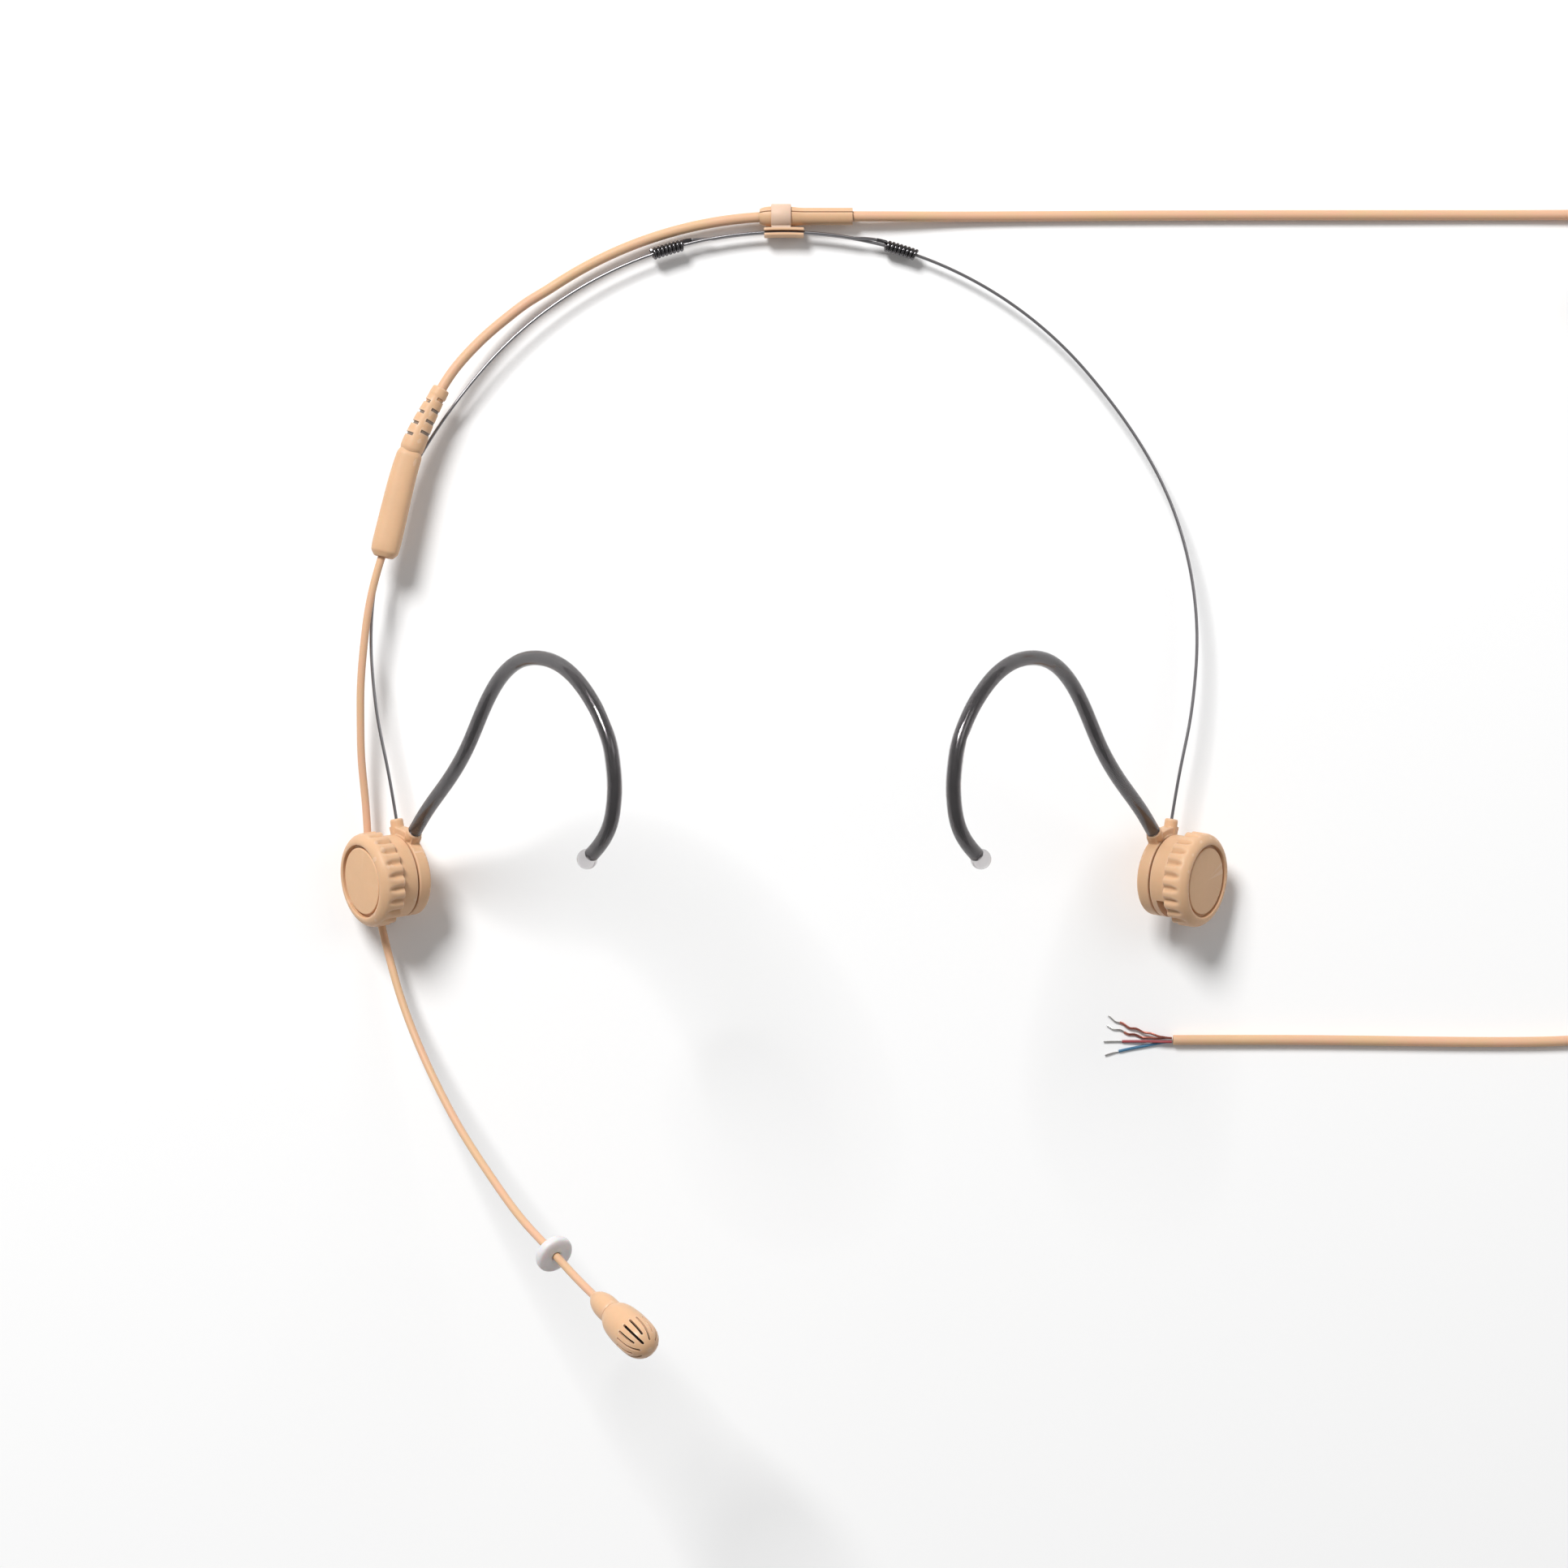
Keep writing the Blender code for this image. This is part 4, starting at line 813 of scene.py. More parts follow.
class HEADSET_OT_cord(bpy.types.Operator):
    """Lays the free cord from the clip through its stored coil to its bare end, with its tie and its leads"""

    bl_idname = "headset.cord"
    bl_label = "Free cord"

    def execute(self, context):
        sizes = context.scene.headset_sizes
        band = np.array(band_axes())
        top = (band @ np.array([*on_band(0, MAIN_RADIUS), 1.0]))[:3] / MM
        start = (SLEEVE_TO - 1.2, float(top[1]), float(top[2]))
        out = smooth([start] + shifted(CORD_OUT_ROUTE), 1.2, slope_out=(1, 0, 0))
        coil = coil_line()
        back = smooth(shifted(CORD_BACK_ROUTE), 1.2, slope_out=(-1, 0, 0))
        join_in = smooth([tuple(out[-1]), tuple(coil[0])], 1.2, slope_in=(1, 0, 0.02), slope_out=(1, 0, 0))
        join_out = smooth([coil[-1], tuple(back[0])], 1.2, slope_in=(0, -1, 0), slope_out=(0, -0.975, -0.22))
        line = np.vstack([out[:-1], join_in[:-1], np.array(coil)[:-1], join_out[:-1], back])
        run = smooth_run(line, 0.9)
        cord = make("free_cord", Path(run).rod(sizes.cord_diameter / 2 / MM, 14, 0.12), "cable_skin", "clip",
                    replaces=("cord_run_out", "cord_coil", "cord_run_back"))
        pieces = [self.tie()] + self.leads()
        return {"FINISHED"}

    def tie(self):
        """A strap round the coil, with its end laid over its start."""
        x, y = COIL_CENTRE[0], COIL_CENTRE[1] - MIDDLE_Y
        (far, near), (low, high) = TIE_REACH, TIE_HEIGHT
        middle = [(TAB_MIDDLE, low), (near, low, 1.2), (near, high, 1.2), (far, high, 1.2), (far, low, 1.2)]
        middle = rounded(middle + [(TAB_MIDDLE, low)], steps=8)
        middle = evenly([(u, 0.0, v) for u, v in middle], 0.35)[:-1]
        line = np.vstack([middle, middle[:1]])
        ahead = np.gradient(line, axis=0)
        ahead /= np.linalg.norm(ahead, axis=1)[:, None]
        outward = np.stack([ahead[:, 2], np.zeros(len(line)), -ahead[:, 0]], axis=1)
        half, thick = TIE_WIDTH / 2, TIE_THICK / 2
        corners = [(thick, -half, 0.15), (thick, half, 0.15), (-thick, half, 0.15), (-thick, -half, 0.15)]
        section = rounded([(0, -half)] + corners + [(0, -half)], steps=2)[:-1]
        place = np.array((x, y, 0))
        rings = []
        for point, out in zip(line[:-1], outward):
            rings.append([tuple(place + point + out * a + np.array((0, b, 0))) for a, b in section])
        band = skin(rings, closed=True)
        top = high + thick
        end = [(-TAB_HALF, top), (TAB_HALF, top)]
        end += [(TAB_HALF - TAB_BEVEL, top + TAB_THICK), (TAB_BEVEL - TAB_HALF, top + TAB_THICK)]
        tab = skin([[(x + TAB_MIDDLE + u, y + v, z) for v, z in end] for u in (-3.2, -1.0, 1.0, 3.0)])
        return make("cord_strap", merged([band, tab]), "strap_weave", "clip", replaces=("cord_tie",))

    def leads(self):
        """Two bare screens of twisted strands, and a red and a blue lead with bare tips."""
        made = []
        for name, (route, covered) in LEADS.items():
            line = smooth(shifted(route), 0.12, slope_in=(-1, 0, 0))
            if name.startswith("screen"):
                along = np.arange(len(line)) * 0.12
                line[:, 1] += 0.14 * np.sin(along * 2.6 + len(name)) * np.clip(1.5 * along / along[-1], 0, 1)
            path = Path(line)
            cut = path.length * covered
            if name.startswith("screen"):
                shape = merged([strand(path, i, 6, 0.115, 0.07, 1.9, 0.0, cut) for i in range(6)])
                made.append(make(f"{name}_strands", shape, "bare_copper", "clip", replaces=(f"lead_{name}",)))
                shape = merged([strand(path, i, 4, 0.075, 0.05, 1.3, cut - 0.3, path.length) for i in range(4)])
                made.append(make(f"{name}_tip", shape, "tinned_wire", "clip"))
                continue
            sleeve = Path([path.at(d)[0] for d in np.linspace(0, cut, 60)])
            made.append(make(f"{name}_lead_skin", sleeve.rod(0.22, 16, 0.05), f"{name}_skin", "clip",
                             replaces=(f"lead_{name}",)))
            shape = merged([strand(path, i, 5, 0.07, 0.05, 1.6, cut - 0.4, path.length) for i in range(5)])
            made.append(make(f"{name}_lead_tip", shape, "tinned_wire", "clip"))
        return made


def strand(path, index, count, offset, radius, pitch, start, end):
    """One of the strands that twist about each other along a path."""
    points = []
    for d in np.linspace(start, end, max(8, int((end - start) / 0.12))):
        point, _, normal, side = path.at(d)
        angle = 2 * math.pi * (index / count + d / pitch)
        reach = offset * (1.0 + 0.25 * math.sin(3.1 * d + index))
        points.append(point + reach * (math.cos(angle) * normal + math.sin(angle) * side))
    return Path(points).rod(radius, 6, radius * 0.5)


def smooth_run(line, spacing):
    """A line evened out, with its small kinks eased."""
    p = evenly(line, spacing)
    for _ in range(3):
        p[1:-1] = (p[:-2] + 2 * p[1:-1] + p[2:]) / 4
    return p


# ---- neckband ----


def on_band(degrees, radius=BAND_RADIUS, level=0.0):
    """A point of the band's circle, in the band's frame. Degrees run from the middle to the wearer's left."""
    angle = math.radians(degrees)
    return (-radius * math.sin(angle), radius * math.cos(angle), level)


def wire_points(level):
    """One spring wire, from its hub on the left to the coil past the middle that grips the other wire."""
    to_band = band_axes().inverted()
    hub = hub_axes(LEFT)
    route = [on_band(BEND_START, level=level)]
    for x, y, z in TEMPLE_ROUTE:
        route.append(tuple(to_band @ (Vector((x, y - MIDDLE_Y, z)) * MM)))
    for reach in (BOSS_END, BOSS_END - 3.0):
        route.append(tuple(to_band @ (hub @ Vector((0, reach, BOSS_LEVEL)))))
    angle = math.radians(BEND_START)
    temple = smooth(route, 1.6, slope_in=(-math.cos(angle), -math.sin(angle), 0))
    points = [tuple(p) for p in temple[::-1]]
    lead_start = -(COIL_START - COIL_LEAD)
    points += [on_band(d, level=level) for d in np.linspace(BEND_START, lead_start, 60)[1:]]
    other = -level
    first = math.copysign(math.pi / 2, level)

    def beside(degrees, turn):
        begun = min(1.0, max(0.0, abs(degrees) - COIL_START) / COIL_SWELL_OVER)
        reach = WIRE_SPACING + COIL_SWELL * begun
        return on_band(degrees, BAND_RADIUS + reach * math.cos(turn), other + reach * math.sin(turn))

    for t in np.linspace(0, 1, 14)[1:]:
        points.append(beside(lead_start - t * COIL_LEAD, first * (1 - t)))
    steps = COIL_TURNS * COIL_STEPS
    for i in range(1, steps + 1):
        degrees = -COIL_START - (COIL_END - COIL_START) * i / steps
        points.append(beside(degrees, -first * 4 * COIL_TURNS * i / steps))
    return points


class HEADSET_OT_neckband(bpy.types.Operator):
    """Makes the two spring wires, each with the coil that grips the other"""

    bl_idname = "headset.neckband"
    bl_label = "Neckband"

    def execute(self, context):
        for side, level in ((LEFT, 0.5), (RIGHT, -0.5)):
            name = side_name(side)
            points = wire_points(level * WIRE_SPACING)
            first = len(points) - COIL_TURNS * COIL_STEPS - 5
            straight = Path(points[: first + 1]).rod(WIRE_DIAMETER / 2, 12, 0.08)
            make(f"{name}_neckband_spring", straight, "wire_steel", f"{name}_band", band_axes(), side,
                 replaces=(f"{name}_band_wire",))
            # The coil uses a darker copy of the straight wire's steel: painted shade between its tight turns.
            coil = Path(points[first:]).rod(WIRE_DIAMETER / 2 + 0.045, 12, 0.08)
            make(f"{name}_neckband_coil", coil, "coil_steel", f"{name}_band", band_axes(), side)
        return {"FINISHED"}


# ---- hubs ----


def socket_way():
    """The direction in which the ear hook leaves its socket."""
    return np.array((math.sin(SOCKET_ANGLE), math.cos(SOCKET_ANGLE), 0))


def plate_shape():
    """The ear plate with the boss for the band wire and the socket of the ear hook, moulded in one."""
    profile = [(0, 0), (0, PLATE_RADIUS, 0.55), (PLATE_THICK, PLATE_RADIUS, 0.2)]
    profile += [(PLATE_THICK, PLATE_HOLE, 0.1), (PLATE_POCKET, PLATE_HOLE, 0.1), (PLATE_POCKET, 0)]
    disc = turned(rounded(profile), 128)
    boss_line = Path([(0, 4.0, BOSS_LEVEL), (0, BOSS_END, BOSS_LEVEL)])
    length = boss_line.length
    profile = [(0, 1.0), (1.7, 1.08), (2.4, 1.05), (3.0, 1.02), (length - 0.3, BOSS_RADIUS + 0.07)]
    profile += [(length - 0.05, BOSS_RADIUS - 0.02), (length, BOSS_RADIUS - 0.2)]
    boss = boss_line.body(profile, 40)
    mouth = np.array((*SOCKET_PLACE, 1.2))
    profile = [(0, 0.8), (1.4, 0.95), (2.0, 1.12), (2.35, 1.2), (3.1, SOCKET_RADIUS), (3.4, SOCKET_RADIUS - 0.05)]
    socket = Path([mouth - 3.4 * socket_way(), mouth]).body(profile, 40)
    first, last = WEB_SWEEP
    rings = []
    for degrees in np.linspace(first, last, 12):
        a = math.radians(degrees)
        outer = WEB_OUTER - WEB_HOLLOW * math.sin(math.pi * (degrees - first) / (last - first))
        section = ((WEB_INNER, 0.25), (outer, 0.25), (outer, 1.95), (WEB_INNER, 1.95))
        rings.append([(r * math.sin(a), r * math.cos(a), z) for r, z in section])
    return merged([disc, boss, socket, skin(rings)])


def plate_cuts(hook_bore):
    """What the band wire and the hook's wire take out of the ear plate."""
    along, mouth = socket_way(), np.array((*SOCKET_PLACE, HOOK_LEVEL))
    wire = Path([(0, 5.2, BOSS_LEVEL), (0, 10.2, BOSS_LEVEL)]).body([(0, WIRE_BORE), (5, WIRE_BORE)], 24)
    hook = Path([mouth - 2.6 * along, mouth + 1.4 * along]).body([(0, hook_bore), (4, hook_bore)], 24)
    return merged([wire, hook])


def grip_dip(height, turns):
    """How deep the grip grooves are at a height. They narrow to a point towards the knob's face."""
    share = (GRIP_END - height) / (GRIP_END - KNOB_FLOOR - 0.9)
    share = min(1.0, max(0.0, share * 1.5))
    depth = GRIP_DEPTH * math.sin(share * math.pi / 2)
    return depth * (0.5 + 0.5 * np.cos(GRIP_GROOVES * turns)) ** (1.8 + 2.6 * (1 - share))


def knob_shape():
    """The grooved knob, with the pocket for its disc in front and the hollow for its insert behind."""
    profile = [(8.15, 0), (8.15, CAP_POCKET, 0.15), (KNOB_TOP - 0.05, CAP_POCKET, 0.12)]
    profile += [(KNOB_TOP, CAP_POCKET + 0.35, 0.2), (KNOB_TOP - 0.2, KNOB_RADIUS - 0.75, 0.45)]
    profile += [(8.0, KNOB_RADIUS, 0.7), (KNOB_FLOOR, KNOB_RADIUS, 0.22), (KNOB_FLOOR, 4.9, 0.1)]
    profile += [(KNOB_FLOOR + 0.4, 4.9, 0.1), (KNOB_FLOOR + 0.4, 2.75, 0.1), (7.75, 2.75, 0.1), (7.75, 0)]
    return turned(spread(rounded(profile, steps=7), 0.16), GRIP_GROOVES * 12, dip=grip_dip)


class HEADSET_OT_hubs(bpy.types.Operator):
    """Makes the ear plates, the clamp rings and the thumb knobs with their discs"""

    bl_idname = "headset.hubs"
    bl_label = "Hubs"

    def execute(self, context):
        hook_bore = context.scene.headset_sizes.core_diameter / 2 / MM + 0.07
        plate = worked(plate_shape(), voxel=0.085, passes=6, cut=plate_cuts(hook_bore))
        bore = STUD_RADIUS + 0.2
        profile = [(3.7, bore), (RING_FLOOR, bore, 0.1), (RING_FLOOR, RING_RADIUS, 0.18)]
        profile += [(RING_TOP, RING_RADIUS, 0.2), (RING_TOP, bore, 0.1), (3.71, bore)]
        ring = turned(spread(rounded(profile), 0.5), 144, closed=True)
        low, high = GROOVE_LEVEL - GROOVE_WIDTH / 2, GROOVE_LEVEL + GROOVE_WIDTH / 2
        reach = RING_RADIUS + 2
        knob = knob_shape()
        disc = [(8.25, 0), (8.25, CAP_RADIUS, 0.1), (CAP_LEVEL, CAP_RADIUS, 0.22), (CAP_LEVEL + 0.02, 0)]
        disc = turned(rounded(disc, steps=6), 144)
        for side in (LEFT, RIGHT):
            name, where = side_name(side), hub_axes(side)
            far = (-GROOVE_FLOOR, reach) if side == LEFT else (reach, -GROOVE_FLOOR)
            grooved = worked(ring, cut=block((-reach, -reach, low), (*far, high)))
            for piece, shape, finish, body, node, crease in (
                ("plate", plate, "soft_plastic", "band", "ear_plate", 38.0),
                ("ring_body", grooved, "soft_plastic", "ring", "clamp_ring", 38.0),
                ("knob_body", knob, "soft_plastic", "knob", "knob", 50.0),
                ("knob_disc", disc, "disc_plastic", "knob", "knob_cap", 38.0),
            ):
                make(f"{name}_{piece}", shape, finish, f"{name}_{body}", where, side, (f"{name}_{node}",), crease)
        return {"FINISHED"}


class HEADSET_OT_hooks(bpy.types.Operator):
    """Makes the ear hooks: a spring wire in a clear tube that ends in a round tip"""

    bl_idname = "headset.hooks"
    bl_label = "Ear hooks"

    def execute(self, context):
        sizes = context.scene.headset_sizes
        route = [(*SOCKET_PLACE, HOOK_LEVEL)] + [(up, back, HOOK_LEVEL) for back, up in HOOK_ROUTE]
        line = Path(smooth(route, 0.9, slope_in=socket_way()))
        end = line.length
        core = sizes.core_diameter / 2 / MM
        wire_end = end - 1.2
        stops = [d for d in line.run if 0.3 < d < wire_end - 0.5]
        tip = [(wire_end - core * 0.5 * (1 - math.sin(t)), core * (1 - 0.5 * (1 - math.cos(t))))
               for t in np.linspace(0, math.pi / 2, 5)]
        wire = line.body([(-2.5, core)] + [(d, core) for d in stops] + tip + [(wire_end, 0)], 20)
        outer, ball = sizes.tube_diameter / 2 / MM, HOOK_TIP / 2
        bore = core - 0.03
        profile = [(wire_end + 0.35, 0), (wire_end + 0.3, bore * 0.6), (wire_end + 0.1, bore * 0.95)]
        profile += [(d, bore) for d in reversed(stops)] + [(0.12, bore), (0.1, bore + 0.1), (0.1, outer - 0.12)]
        profile += [(0.2, outer)] + [(d, outer) for d in stops if d < end - 2.2]
        neck = math.acos(outer / ball)
        for angle in np.linspace(-neck, math.pi / 2, 14):
            profile.append((end + ball * math.sin(angle), 0 if angle > 1.57 else ball * math.cos(angle)))
        tube = line.body(profile, 36)
        for side in (LEFT, RIGHT):
            name, where = side_name(side), hub_axes(side)
            body = f"{name}_band"
            make(f"{name}_hook_core", wire, "hook_steel", body, where, side, (f"{name}_hook_wire",))
            make(f"{name}_hook_sleeve", tube, "tube_silicone", body, where, side, (f"{name}_hook_tube",))
        return {"FINISHED"}


# ---- boom and capsule ----


def boom_path():
    return Path(smooth([(up, back, GROOVE_LEVEL) for back, up in BOOM_ROUTE], 0.8, slope_in=(0, -1, 0)))


def capsule_path():
    line = boom_path()
    point, tangent, *_ = line.at(line.length)
    return Path([point, point + tangent * 14.3])


class HEADSET_OT_boom(bpy.types.Operator):
    """Makes the boom and the silicone sweat guard on it"""

    bl_idname = "headset.boom"
    bl_label = "Boom"

    def execute(self, context):
        line = boom_path()
        radius = context.scene.headset_sizes.boom_diameter / 2 / MM
        where = hub_axes(LEFT)
        make("boom_tube", line.rod(radius, 28, 0.15), "cable_skin", "boom", where, replaces=("mic_boom",))
        back = line.length - GUARD_BACK
        hole, outer, half = radius + 0.06, GUARD_DIAMETER / 2, GUARD_THICK / 2
        face = [(half, hole + 0.25, 0.1), (half, outer - 0.7, 0.35), (half * 0.75, outer - 0.1, 0.3)]
        rim = [(back - half + 0.15, hole)] + [(back - d, r, size) for d, r, size in face] + [(back, outer, 0.3)]
        rim += [(back + d, r, size) for d, r, size in reversed(face)] + [(back + half - 0.15, hole)]
        shape = line.body(spread(rounded(rim, steps=6), 0.2), 64, closed=True)
        make("guard_disc", shape, "guard_silicone", "sweat_guard", where, replaces=("sweat_guard",))
        return {"FINISHED"}


class HEADSET_OT_capsule(bpy.types.Operator):
    """Makes the capsule: its boot on the boom's end and the cap with its long and short slots"""

    bl_idname = "headset.capsule"
    bl_label = "Capsule"

    def execute(self, context):
        line = capsule_path()
        where = hub_axes(LEFT)
        inner = [(4.15, 1.5), (7.6, 1.5), (7.6, 1.28), (0.7, 1.28), (0.7, 0.7)]
        boot = line.body(spread(BOOT_PROFILE, 0.25) + inner, 64, closed=True)
        make("boot", boot, "capsule_plastic", "boom", where, replaces=("capsule_boot",), crease=45)
        outside = rounded(CAP_PROFILE[:1] + [(d, r, 0.5) for d, r in CAP_PROFILE[1:]] + [(14.3, 0)], steps=4)
        hollow = [(d, r - CAP_WALL) for d, r in CAP_PROFILE[4:-2]]
        shell = line.body([(13.85, 0)] + hollow[::-1] + [(4.2, 1.58)] + spread(outside, 0.22), 96)
        cap = worked(shell, cut=merged([self.slot(line, i) for i in range(SLOTS)]))
        make("slotted_cap", cap, "capsule_plastic", "mic_cap", where, replaces=("mic_cap",), crease=40)
        return {"FINISHED"}

    def slot(self, line, index):
        """The cutter of one slot, with round ends."""
        start, stop = SHORT_SLOT if index % 2 else LONG_SLOT
        angle = 2 * math.pi * index / SLOTS
        origin, tangent, normal, side = line.at(0)
        out = math.cos(angle) * normal + math.sin(angle) * side
        across = -math.sin(angle) * normal + math.cos(angle) * side
        half = SLOT_WIDTH / 2
        turns = np.linspace(-math.pi / 2, math.pi / 2, 7)
        outline = [(stop - half + half * math.cos(t), half * math.sin(t)) for t in turns]
        outline += [(start + half - half * math.cos(t), -half * math.sin(t)) for t in turns]
        rings = [[tuple(origin + tangent * d + across * w + out * r) for d, w in outline] for r in (1.1, 4.0)]
        return skin(rings)


# ---- cables held by the headset ----


def joint_path():
    return Path(smooth(shifted(JOINT_ROUTE), 0.5))


class HEADSET_OT_cables(bpy.types.Operator):
    """Makes the lead from the hub, the inline joint with its slotted strain relief, and the main cable"""

    bl_idname = "headset.cables"
    bl_label = "Held cables"

    def execute(self, context):
        sizes = context.scene.headset_sizes
        joint = joint_path()
        start = joint.at(0)
        thin = Path(smooth(shifted(THIN_ROUTE) + [start[0] + start[1] * 3.0], 0.8))
        radius = sizes.lead_diameter / 2 / MM
        stops = [d for d in thin.run if 2.4 < d < thin.length]
        profile = [(0, 0), (0, radius + 0.1), (0.3, radius + 0.12), (1.2, radius + 0.06), (2.2, radius)]
        profile += [(d, radius) for d in stops] + [(thin.length, radius), (thin.length, 0)]
        make("hub_lead", thin.body(profile, 28), "cable_skin", "left_band", replaces=("mic_lead",))
        band = band_axes()
        arc = [tuple((band @ Vector(on_band(d, MAIN_RADIUS))) / MM) for d in np.linspace(MAIN_JOIN, 0, 60)]
        inside = [joint.at(joint.length - back)[0] for back in (5.0, 2.5, 0.0)]
        angle = math.radians(MAIN_JOIN)
        join = (math.cos(angle), math.sin(angle), 0)
        lead = smooth(inside + shifted(MAIN_ROUTE) + [arc[0]], 0.9, slope_out=join)
        level = arc[-1]
        end = [(x, level[1], level[2]) for x in np.arange(0.8, SLEEVE_TO - 1.3, 0.8)]
        cable = Path(smooth_run(np.vstack([lead[:-1], arc, end]), 0.8))
        piece = make("main_run", cable.rod(sizes.cord_diameter / 2 / MM, 24, 0.1), "cable_skin",
                     replaces=("main_cable",))
        tuple(c * MM for c in arc[20])
        tuple(c * MM for c in arc[-8])
        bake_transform(piece)
        self.barrel(joint)
        return {"FINISHED"}

    def barrel(self, joint):
        """The joint's barrel, and the strain relief with cuts on its two sides by turns."""
        length = float(np.linalg.norm(np.subtract(JOINT_ROUTE[2], JOINT_ROUTE[0])))

        def outline(turns):
            """A rounded flat section with a faint parting line down each side."""
            c, s = np.abs(np.cos(turns)), np.abs(np.sin(turns))
            flat = 1.0 / ((c / 0.86) ** 2.5 + s**2.5) ** (1 / 2.5)
            return flat + 0.012 * np.exp(-(((turns % math.pi) - math.pi / 2) / 0.06) ** 2)

        profile = [(0.25, 0.75), (0.05, 0.8, 0.1), (0.0, 1.45, 0.2), (0.85, 2.12, 0.25), (2.0, 2.22, 0.6)]
        profile += [(7.0, 2.17, 1.0), (12.0, 2.09, 1.0), (length - 0.75, 1.98, 0.3), (length - 0.05, 1.7, 0.1)]
        profile += [(length - 0.05, 0.82)]
        shape = joint.body(spread(rounded(profile, steps=6), 0.35), 96, outline=outline)
        make("barrel", shape, "soft_plastic", "left_band", replaces=("joint_barrel",), crease=50)
        start, end = length, joint.length
        profile = [(start - 0.3, 0.95), (start - 0.3, 1.6, 0.1), (start + 0.25, 1.84, 0.25)]
        profile += [(start + 1.2, 1.87, 0.4), (end - 1.6, 1.36, 0.4), (end - 1.3, 1.42, 0.2)]
        profile += [(end - 0.1, 1.34, 0.25), (end, 0.95)]
        relief = joint.body(spread(rounded(profile, steps=5), 0.3), 72, closed=True)
        cutters = []
        turns = np.radians(np.linspace(-RELIEF_SWEEP, RELIEF_SWEEP, 16))
        sector = [(RELIEF_DEPTH, t) for t in turns] + [(RELIEF_REACH, t) for t in turns[::-1]]
        for i in range(RELIEF_CUTS):
            point, tangent, normal, side = joint.at(start + RELIEF_FIRST + RELIEF_PITCH * i)
            side = side * (1 if i % 2 else -1)
            arc = [r * (math.cos(t) * side + math.sin(t) * normal) for r, t in sector]
            rings = [[tuple(point + tangent * w + way) for way in arc] for w in (-RELIEF_HALF, RELIEF_HALF)]
            cutters.append(skin(rings))
        # A very dark filler inside the strain relief: painted shade that shows through the slots, where only shade
        # would be.
        core = joint.body([(start, 0), (start, 1.5), (start + 1.5, 1.66), (end - 1.5, 1.17), (end - 1.5, 0)], 48)
        make("relief_shade_filler", core, "core_rubber", "left_band")
        make("slotted_relief", worked(relief, cut=merged(cutters)), "soft_plastic", "left_band",
             replaces=("strain_relief",), crease=42)


# ---- clip ----


def slit_ring(outer, inner, gap_angle, half_gap, sides=72, edge=0.07):
    """The outline of a ring with a gap, as (angle, radius) points, with the corners at the gap rounded."""
    angles = [gap_angle + half_gap + (2 * math.pi - 2 * half_gap) * i / sides for i in range(sides + 1)]
    turn = edge / outer
    first, last = angles[0], angles[-1]
    line = [(first, outer - edge), (first + turn * 0.3, outer - edge * 0.3), (first + turn, outer)]
    line += [(a, outer) for a in angles[2:-2]]
    line += [(last - turn, outer), (last - turn * 0.3, outer - edge * 0.3), (last, outer - edge)]
    return line + [(a, inner) for a in reversed(angles)]


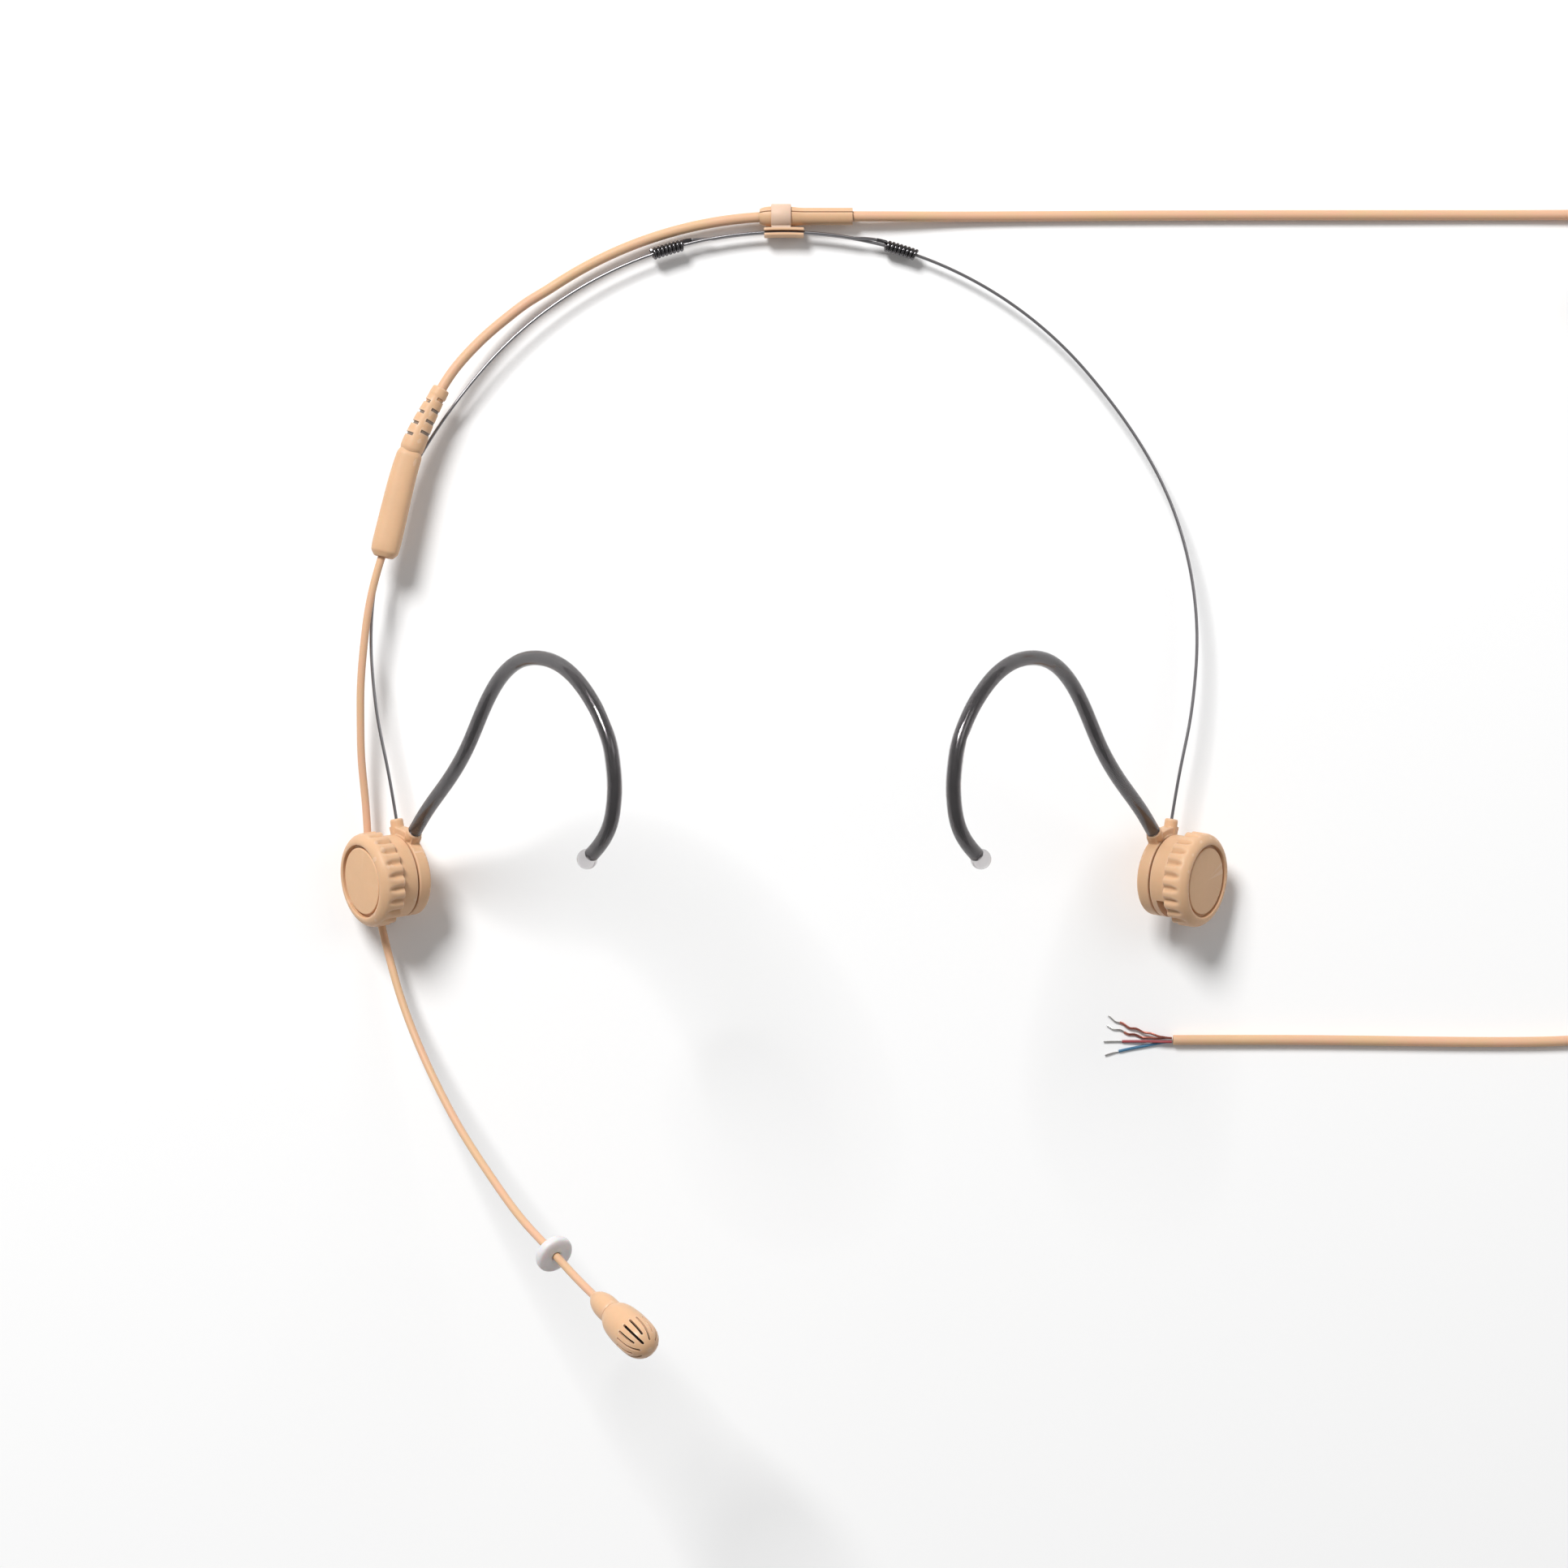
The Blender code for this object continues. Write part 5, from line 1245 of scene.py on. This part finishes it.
class HEADSET_OT_clip(bpy.types.Operator):
    """Makes the clip: the slit sleeve round the cable, the loop that holds it and the channel of the two wires"""

    bl_idname = "headset.clip"
    bl_label = "Clip"

    def execute(self, context):
        band = band_axes()
        top = (band @ Vector(on_band(0, MAIN_RADIUS))) / MM
        where = axes((1, 0, 0), (0, 1, 0), (0, 0, 1), top)

        def section(x, outer, inner, gap_angle, half_gap, edge=0.07):
            return [(x, r * math.cos(a), r * math.sin(a))
                    for a, r in slit_ring(outer, inner, gap_angle, half_gap, edge=edge)]

        half_slit = SLEEVE_SLIT / 2 / SLEEVE_NARROW
        profile = [(SLEEVE_FROM, 1.12), (SLEEVE_FROM, 1.16, 0.05), (SLEEVE_FROM + 0.6, 1.42, 0.5)]
        profile += [(SLEEVE_FROM + 1.6, SLEEVE_WIDE, 0.9)]
        profile += [(SLEEVE_WAIST - 1.7, SLEEVE_WIDE, 0.8), (SLEEVE_WAIST, SLEEVE_NARROW, 0.9)]
        profile += [(SLEEVE_TO, SLEEVE_NARROW, 0.12), (SLEEVE_TO, 1.12)]
        stations = spread(rounded(profile, steps=6), 0.4)
        sleeve = skin([section(x, r, SLEEVE_BORE, SLEEVE_SLIT_ANGLE, half_slit) for x, r in stations])
        make("slit_sleeve", sleeve, "soft_plastic", "sleeve", where, replaces=("cable_sleeve",), crease=45)
        inside = SLEEVE_WIDE + 0.05
        edges = [(LOOP_FROM, 0.12), (LOOP_FROM + 0.04, 0.05), (LOOP_FROM + 0.12, 0.0)]
        edges += [(LOOP_TO - 0.12, 0.0), (LOOP_TO - 0.04, 0.05), (LOOP_TO, 0.12)]
        loop = skin([section(x, LOOP_OUTER - drop, inside, -math.pi, LOOP_MOUTH / 2) for x, drop in edges])
        make("loop_band", loop, "loop_plastic", "clip", where, replaces=("clip_loop",), crease=45)
        (near, far), (inner, outer) = (-1.3, -2.15), (0.7, 1.15)
        feet = [block((LOOP_FROM + 0.05, far, low), (LOOP_TO - 0.05, near, low + outer - inner))
                for low in (inner, -outer)]
        make("loop_feet", merged(feet), "loop_plastic", "clip", where)
        self.channel(band)
        return {"FINISHED"}

    def channel(self, band):
        """The channel that follows the two wires, open to the top between its lips, with its ends drawn in."""
        slot = WIRE_DIAMETER / 2 + 0.06
        depth = WIRE_SPACING / 2 + slot
        wall, lip, top_edge = slot + CHANNEL_WALL, CHANNEL_LIP_WIDTH / 2, depth + CHANNEL_LIP_DEPTH
        base = -depth - CHANNEL_FLOOR
        half_outline = [(wall, base, 0.2), (wall, top_edge, 0.3), (lip, top_edge, 0.16), (lip, depth + 0.15, 0.08)]
        half_outline += [(slot, depth, 0.08), (slot, -depth, 0.2)]
        other_half = [(-r, z, size) for r, z, size in reversed(half_outline)]
        outline = rounded([(0, base)] + half_outline + other_half + [(0, base)], steps=4)[:-1]
        half = math.degrees(CHANNEL_LENGTH / 2 / BAND_RADIUS)
        middle = np.mean(outline, axis=0)
        stations = [(half, 0.08), (half - 0.03, 0.03), (half - 0.1, 0.0)]
        stations += [(d, 0.0) for d in np.linspace(half - 0.4, 0.4 - half, 12)]
        stations += [(0.1 - half, 0.0), (0.03 - half, 0.03), (-half, 0.08)]
        rings = []
        for degrees, inset in stations:
            ring = []
            for r, z in outline:
                r_in = inset * np.sign(r - middle[0]) * (abs(r) > lip + 0.1)
                z_in = inset * np.sign(z - middle[1]) * (abs(z) > depth + 0.2)
                ring.append(on_band(degrees, BAND_RADIUS + r - r_in, z - z_in))
            rings.append(ring)
        make("channel_body", skin(rings), "soft_plastic", "clip", band, replaces=("wire_channel",), crease=40)


# ---- finishes of everything ----

INNER_PIECES = {  # pieces of the frame that stay as they are, and their finishes
    "left_axle_stud": "turned_metal",
    "right_axle_stud": "turned_metal",
    "left_thrust_washer": "turned_metal",
    "right_thrust_washer": "turned_metal",
    "mic_cartridge": "turned_metal",
    "left_friction_washer": "washer_nylon",
    "right_friction_washer": "washer_nylon",
    "left_knob_insert": "insert_brass",
    "right_knob_insert": "insert_brass",
    "mic_screen": "screen_weave",
}


class HEADSET_OT_finishes(bpy.types.Operator):
    """Makes the materials, and gives the inner pieces of the frame theirs"""

    bl_idname = "headset.finishes"
    bl_label = "Finishes"

    def execute(self, context):
        colours = context.scene.headset_colours
        plastic("soft_plastic", tuple(colours.plastic))
        plastic("capsule_plastic", tuple(colours.plastic), gloss=0.34, grain=0.005)
        plastic("disc_plastic", tuple(colours.disc), gloss=0.42)
        plastic("loop_plastic", tuple(colours.loop), gloss=0.55, grain=0.018)
        # A very dark copy of the plastic for the strain relief's filler: painted shade, not a real rubber part.
        plastic("core_rubber", shade(colours.plastic, 0.22), gloss=0.6)
        plastic("washer_nylon", (0.8, 0.77, 0.7), gloss=0.5)
        jacket("cable_skin", tuple(colours.jacket))
        insulation("red_skin", tuple(colours.red))
        insulation("blue_skin", tuple(colours.blue))
        steel("wire_steel", (0.3, 0.29, 0.3), 0.6, 0.3)
        # The same spring steel as the straight wire, darkened to paint the shade between the coil's tight turns.
        steel("coil_steel", (0.13, 0.125, 0.13), 0.6, 0.17)
        steel("hook_steel", (0.15, 0.143, 0.148), 0.75, 0.25, across=16.0, along=0.12)
        steel("tinned_wire", (0.66, 0.65, 0.63), 0.5, 0.3)
        metal("turned_metal", (0.6, 0.6, 0.6), 0.3)
        metal("insert_brass", (0.72, 0.52, 0.22), 0.32)
        clear_silicone()
        milky_silicone()
        dark_screen()
        copper()
        strap()
        for node, finish in INNER_PIECES.items():
            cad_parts[node].data.materials.clear()
            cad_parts[node].data.materials.append(bpy.data.materials[finish])
        return {"FINISHED"}


class HEADSET_PT_panel(bpy.types.Panel):
    """The headset's steps, sizes and colours"""

    bl_idname = "HEADSET_PT_panel"
    bl_label = "Headset microphone"
    bl_space_type = "VIEW_3D"
    bl_region_type = "UI"
    bl_category = "Headset"

    def draw(self, context):
        for operator in OPERATORS:
            self.layout.operator(operator.bl_idname)
        for group in GROUPS:
            settings, box = getattr(context.scene, group), self.layout.box()
            for name in settings.__annotations__:
                box.prop(settings, name)


GROUPS = {"headset_sizes": HeadsetSizes, "headset_colours": HeadsetColours, "headset_stage": StageSettings}
OPERATORS = [HEADSET_OT_finishes, HEADSET_OT_stage, HEADSET_OT_cord, HEADSET_OT_neckband, HEADSET_OT_hubs]
OPERATORS += [HEADSET_OT_hooks, HEADSET_OT_boom, HEADSET_OT_capsule, HEADSET_OT_cables, HEADSET_OT_clip]


def register():
    for cls in [*GROUPS.values(), *OPERATORS, HEADSET_PT_panel]:
        bpy.utils.register_class(cls)
    for name, group in GROUPS.items():
        setattr(bpy.types.Scene, name, PointerProperty(type=group))


def unregister():
    for name in GROUPS:
        delattr(bpy.types.Scene, name)
    for cls in reversed([*GROUPS.values(), *OPERATORS, HEADSET_PT_panel]):
        bpy.utils.unregister_class(cls)


def main():
    register()
    bpy.ops.headset.finishes()
    bpy.ops.headset.stage()
    bpy.ops.headset.cord()
    bpy.ops.headset.neckband()
    bpy.ops.headset.hubs()
    bpy.ops.headset.hooks()
    bpy.ops.headset.boom()
    bpy.ops.headset.capsule()
    bpy.ops.headset.cables()
    bpy.ops.headset.clip()


if __name__ == "__main__":
    main()
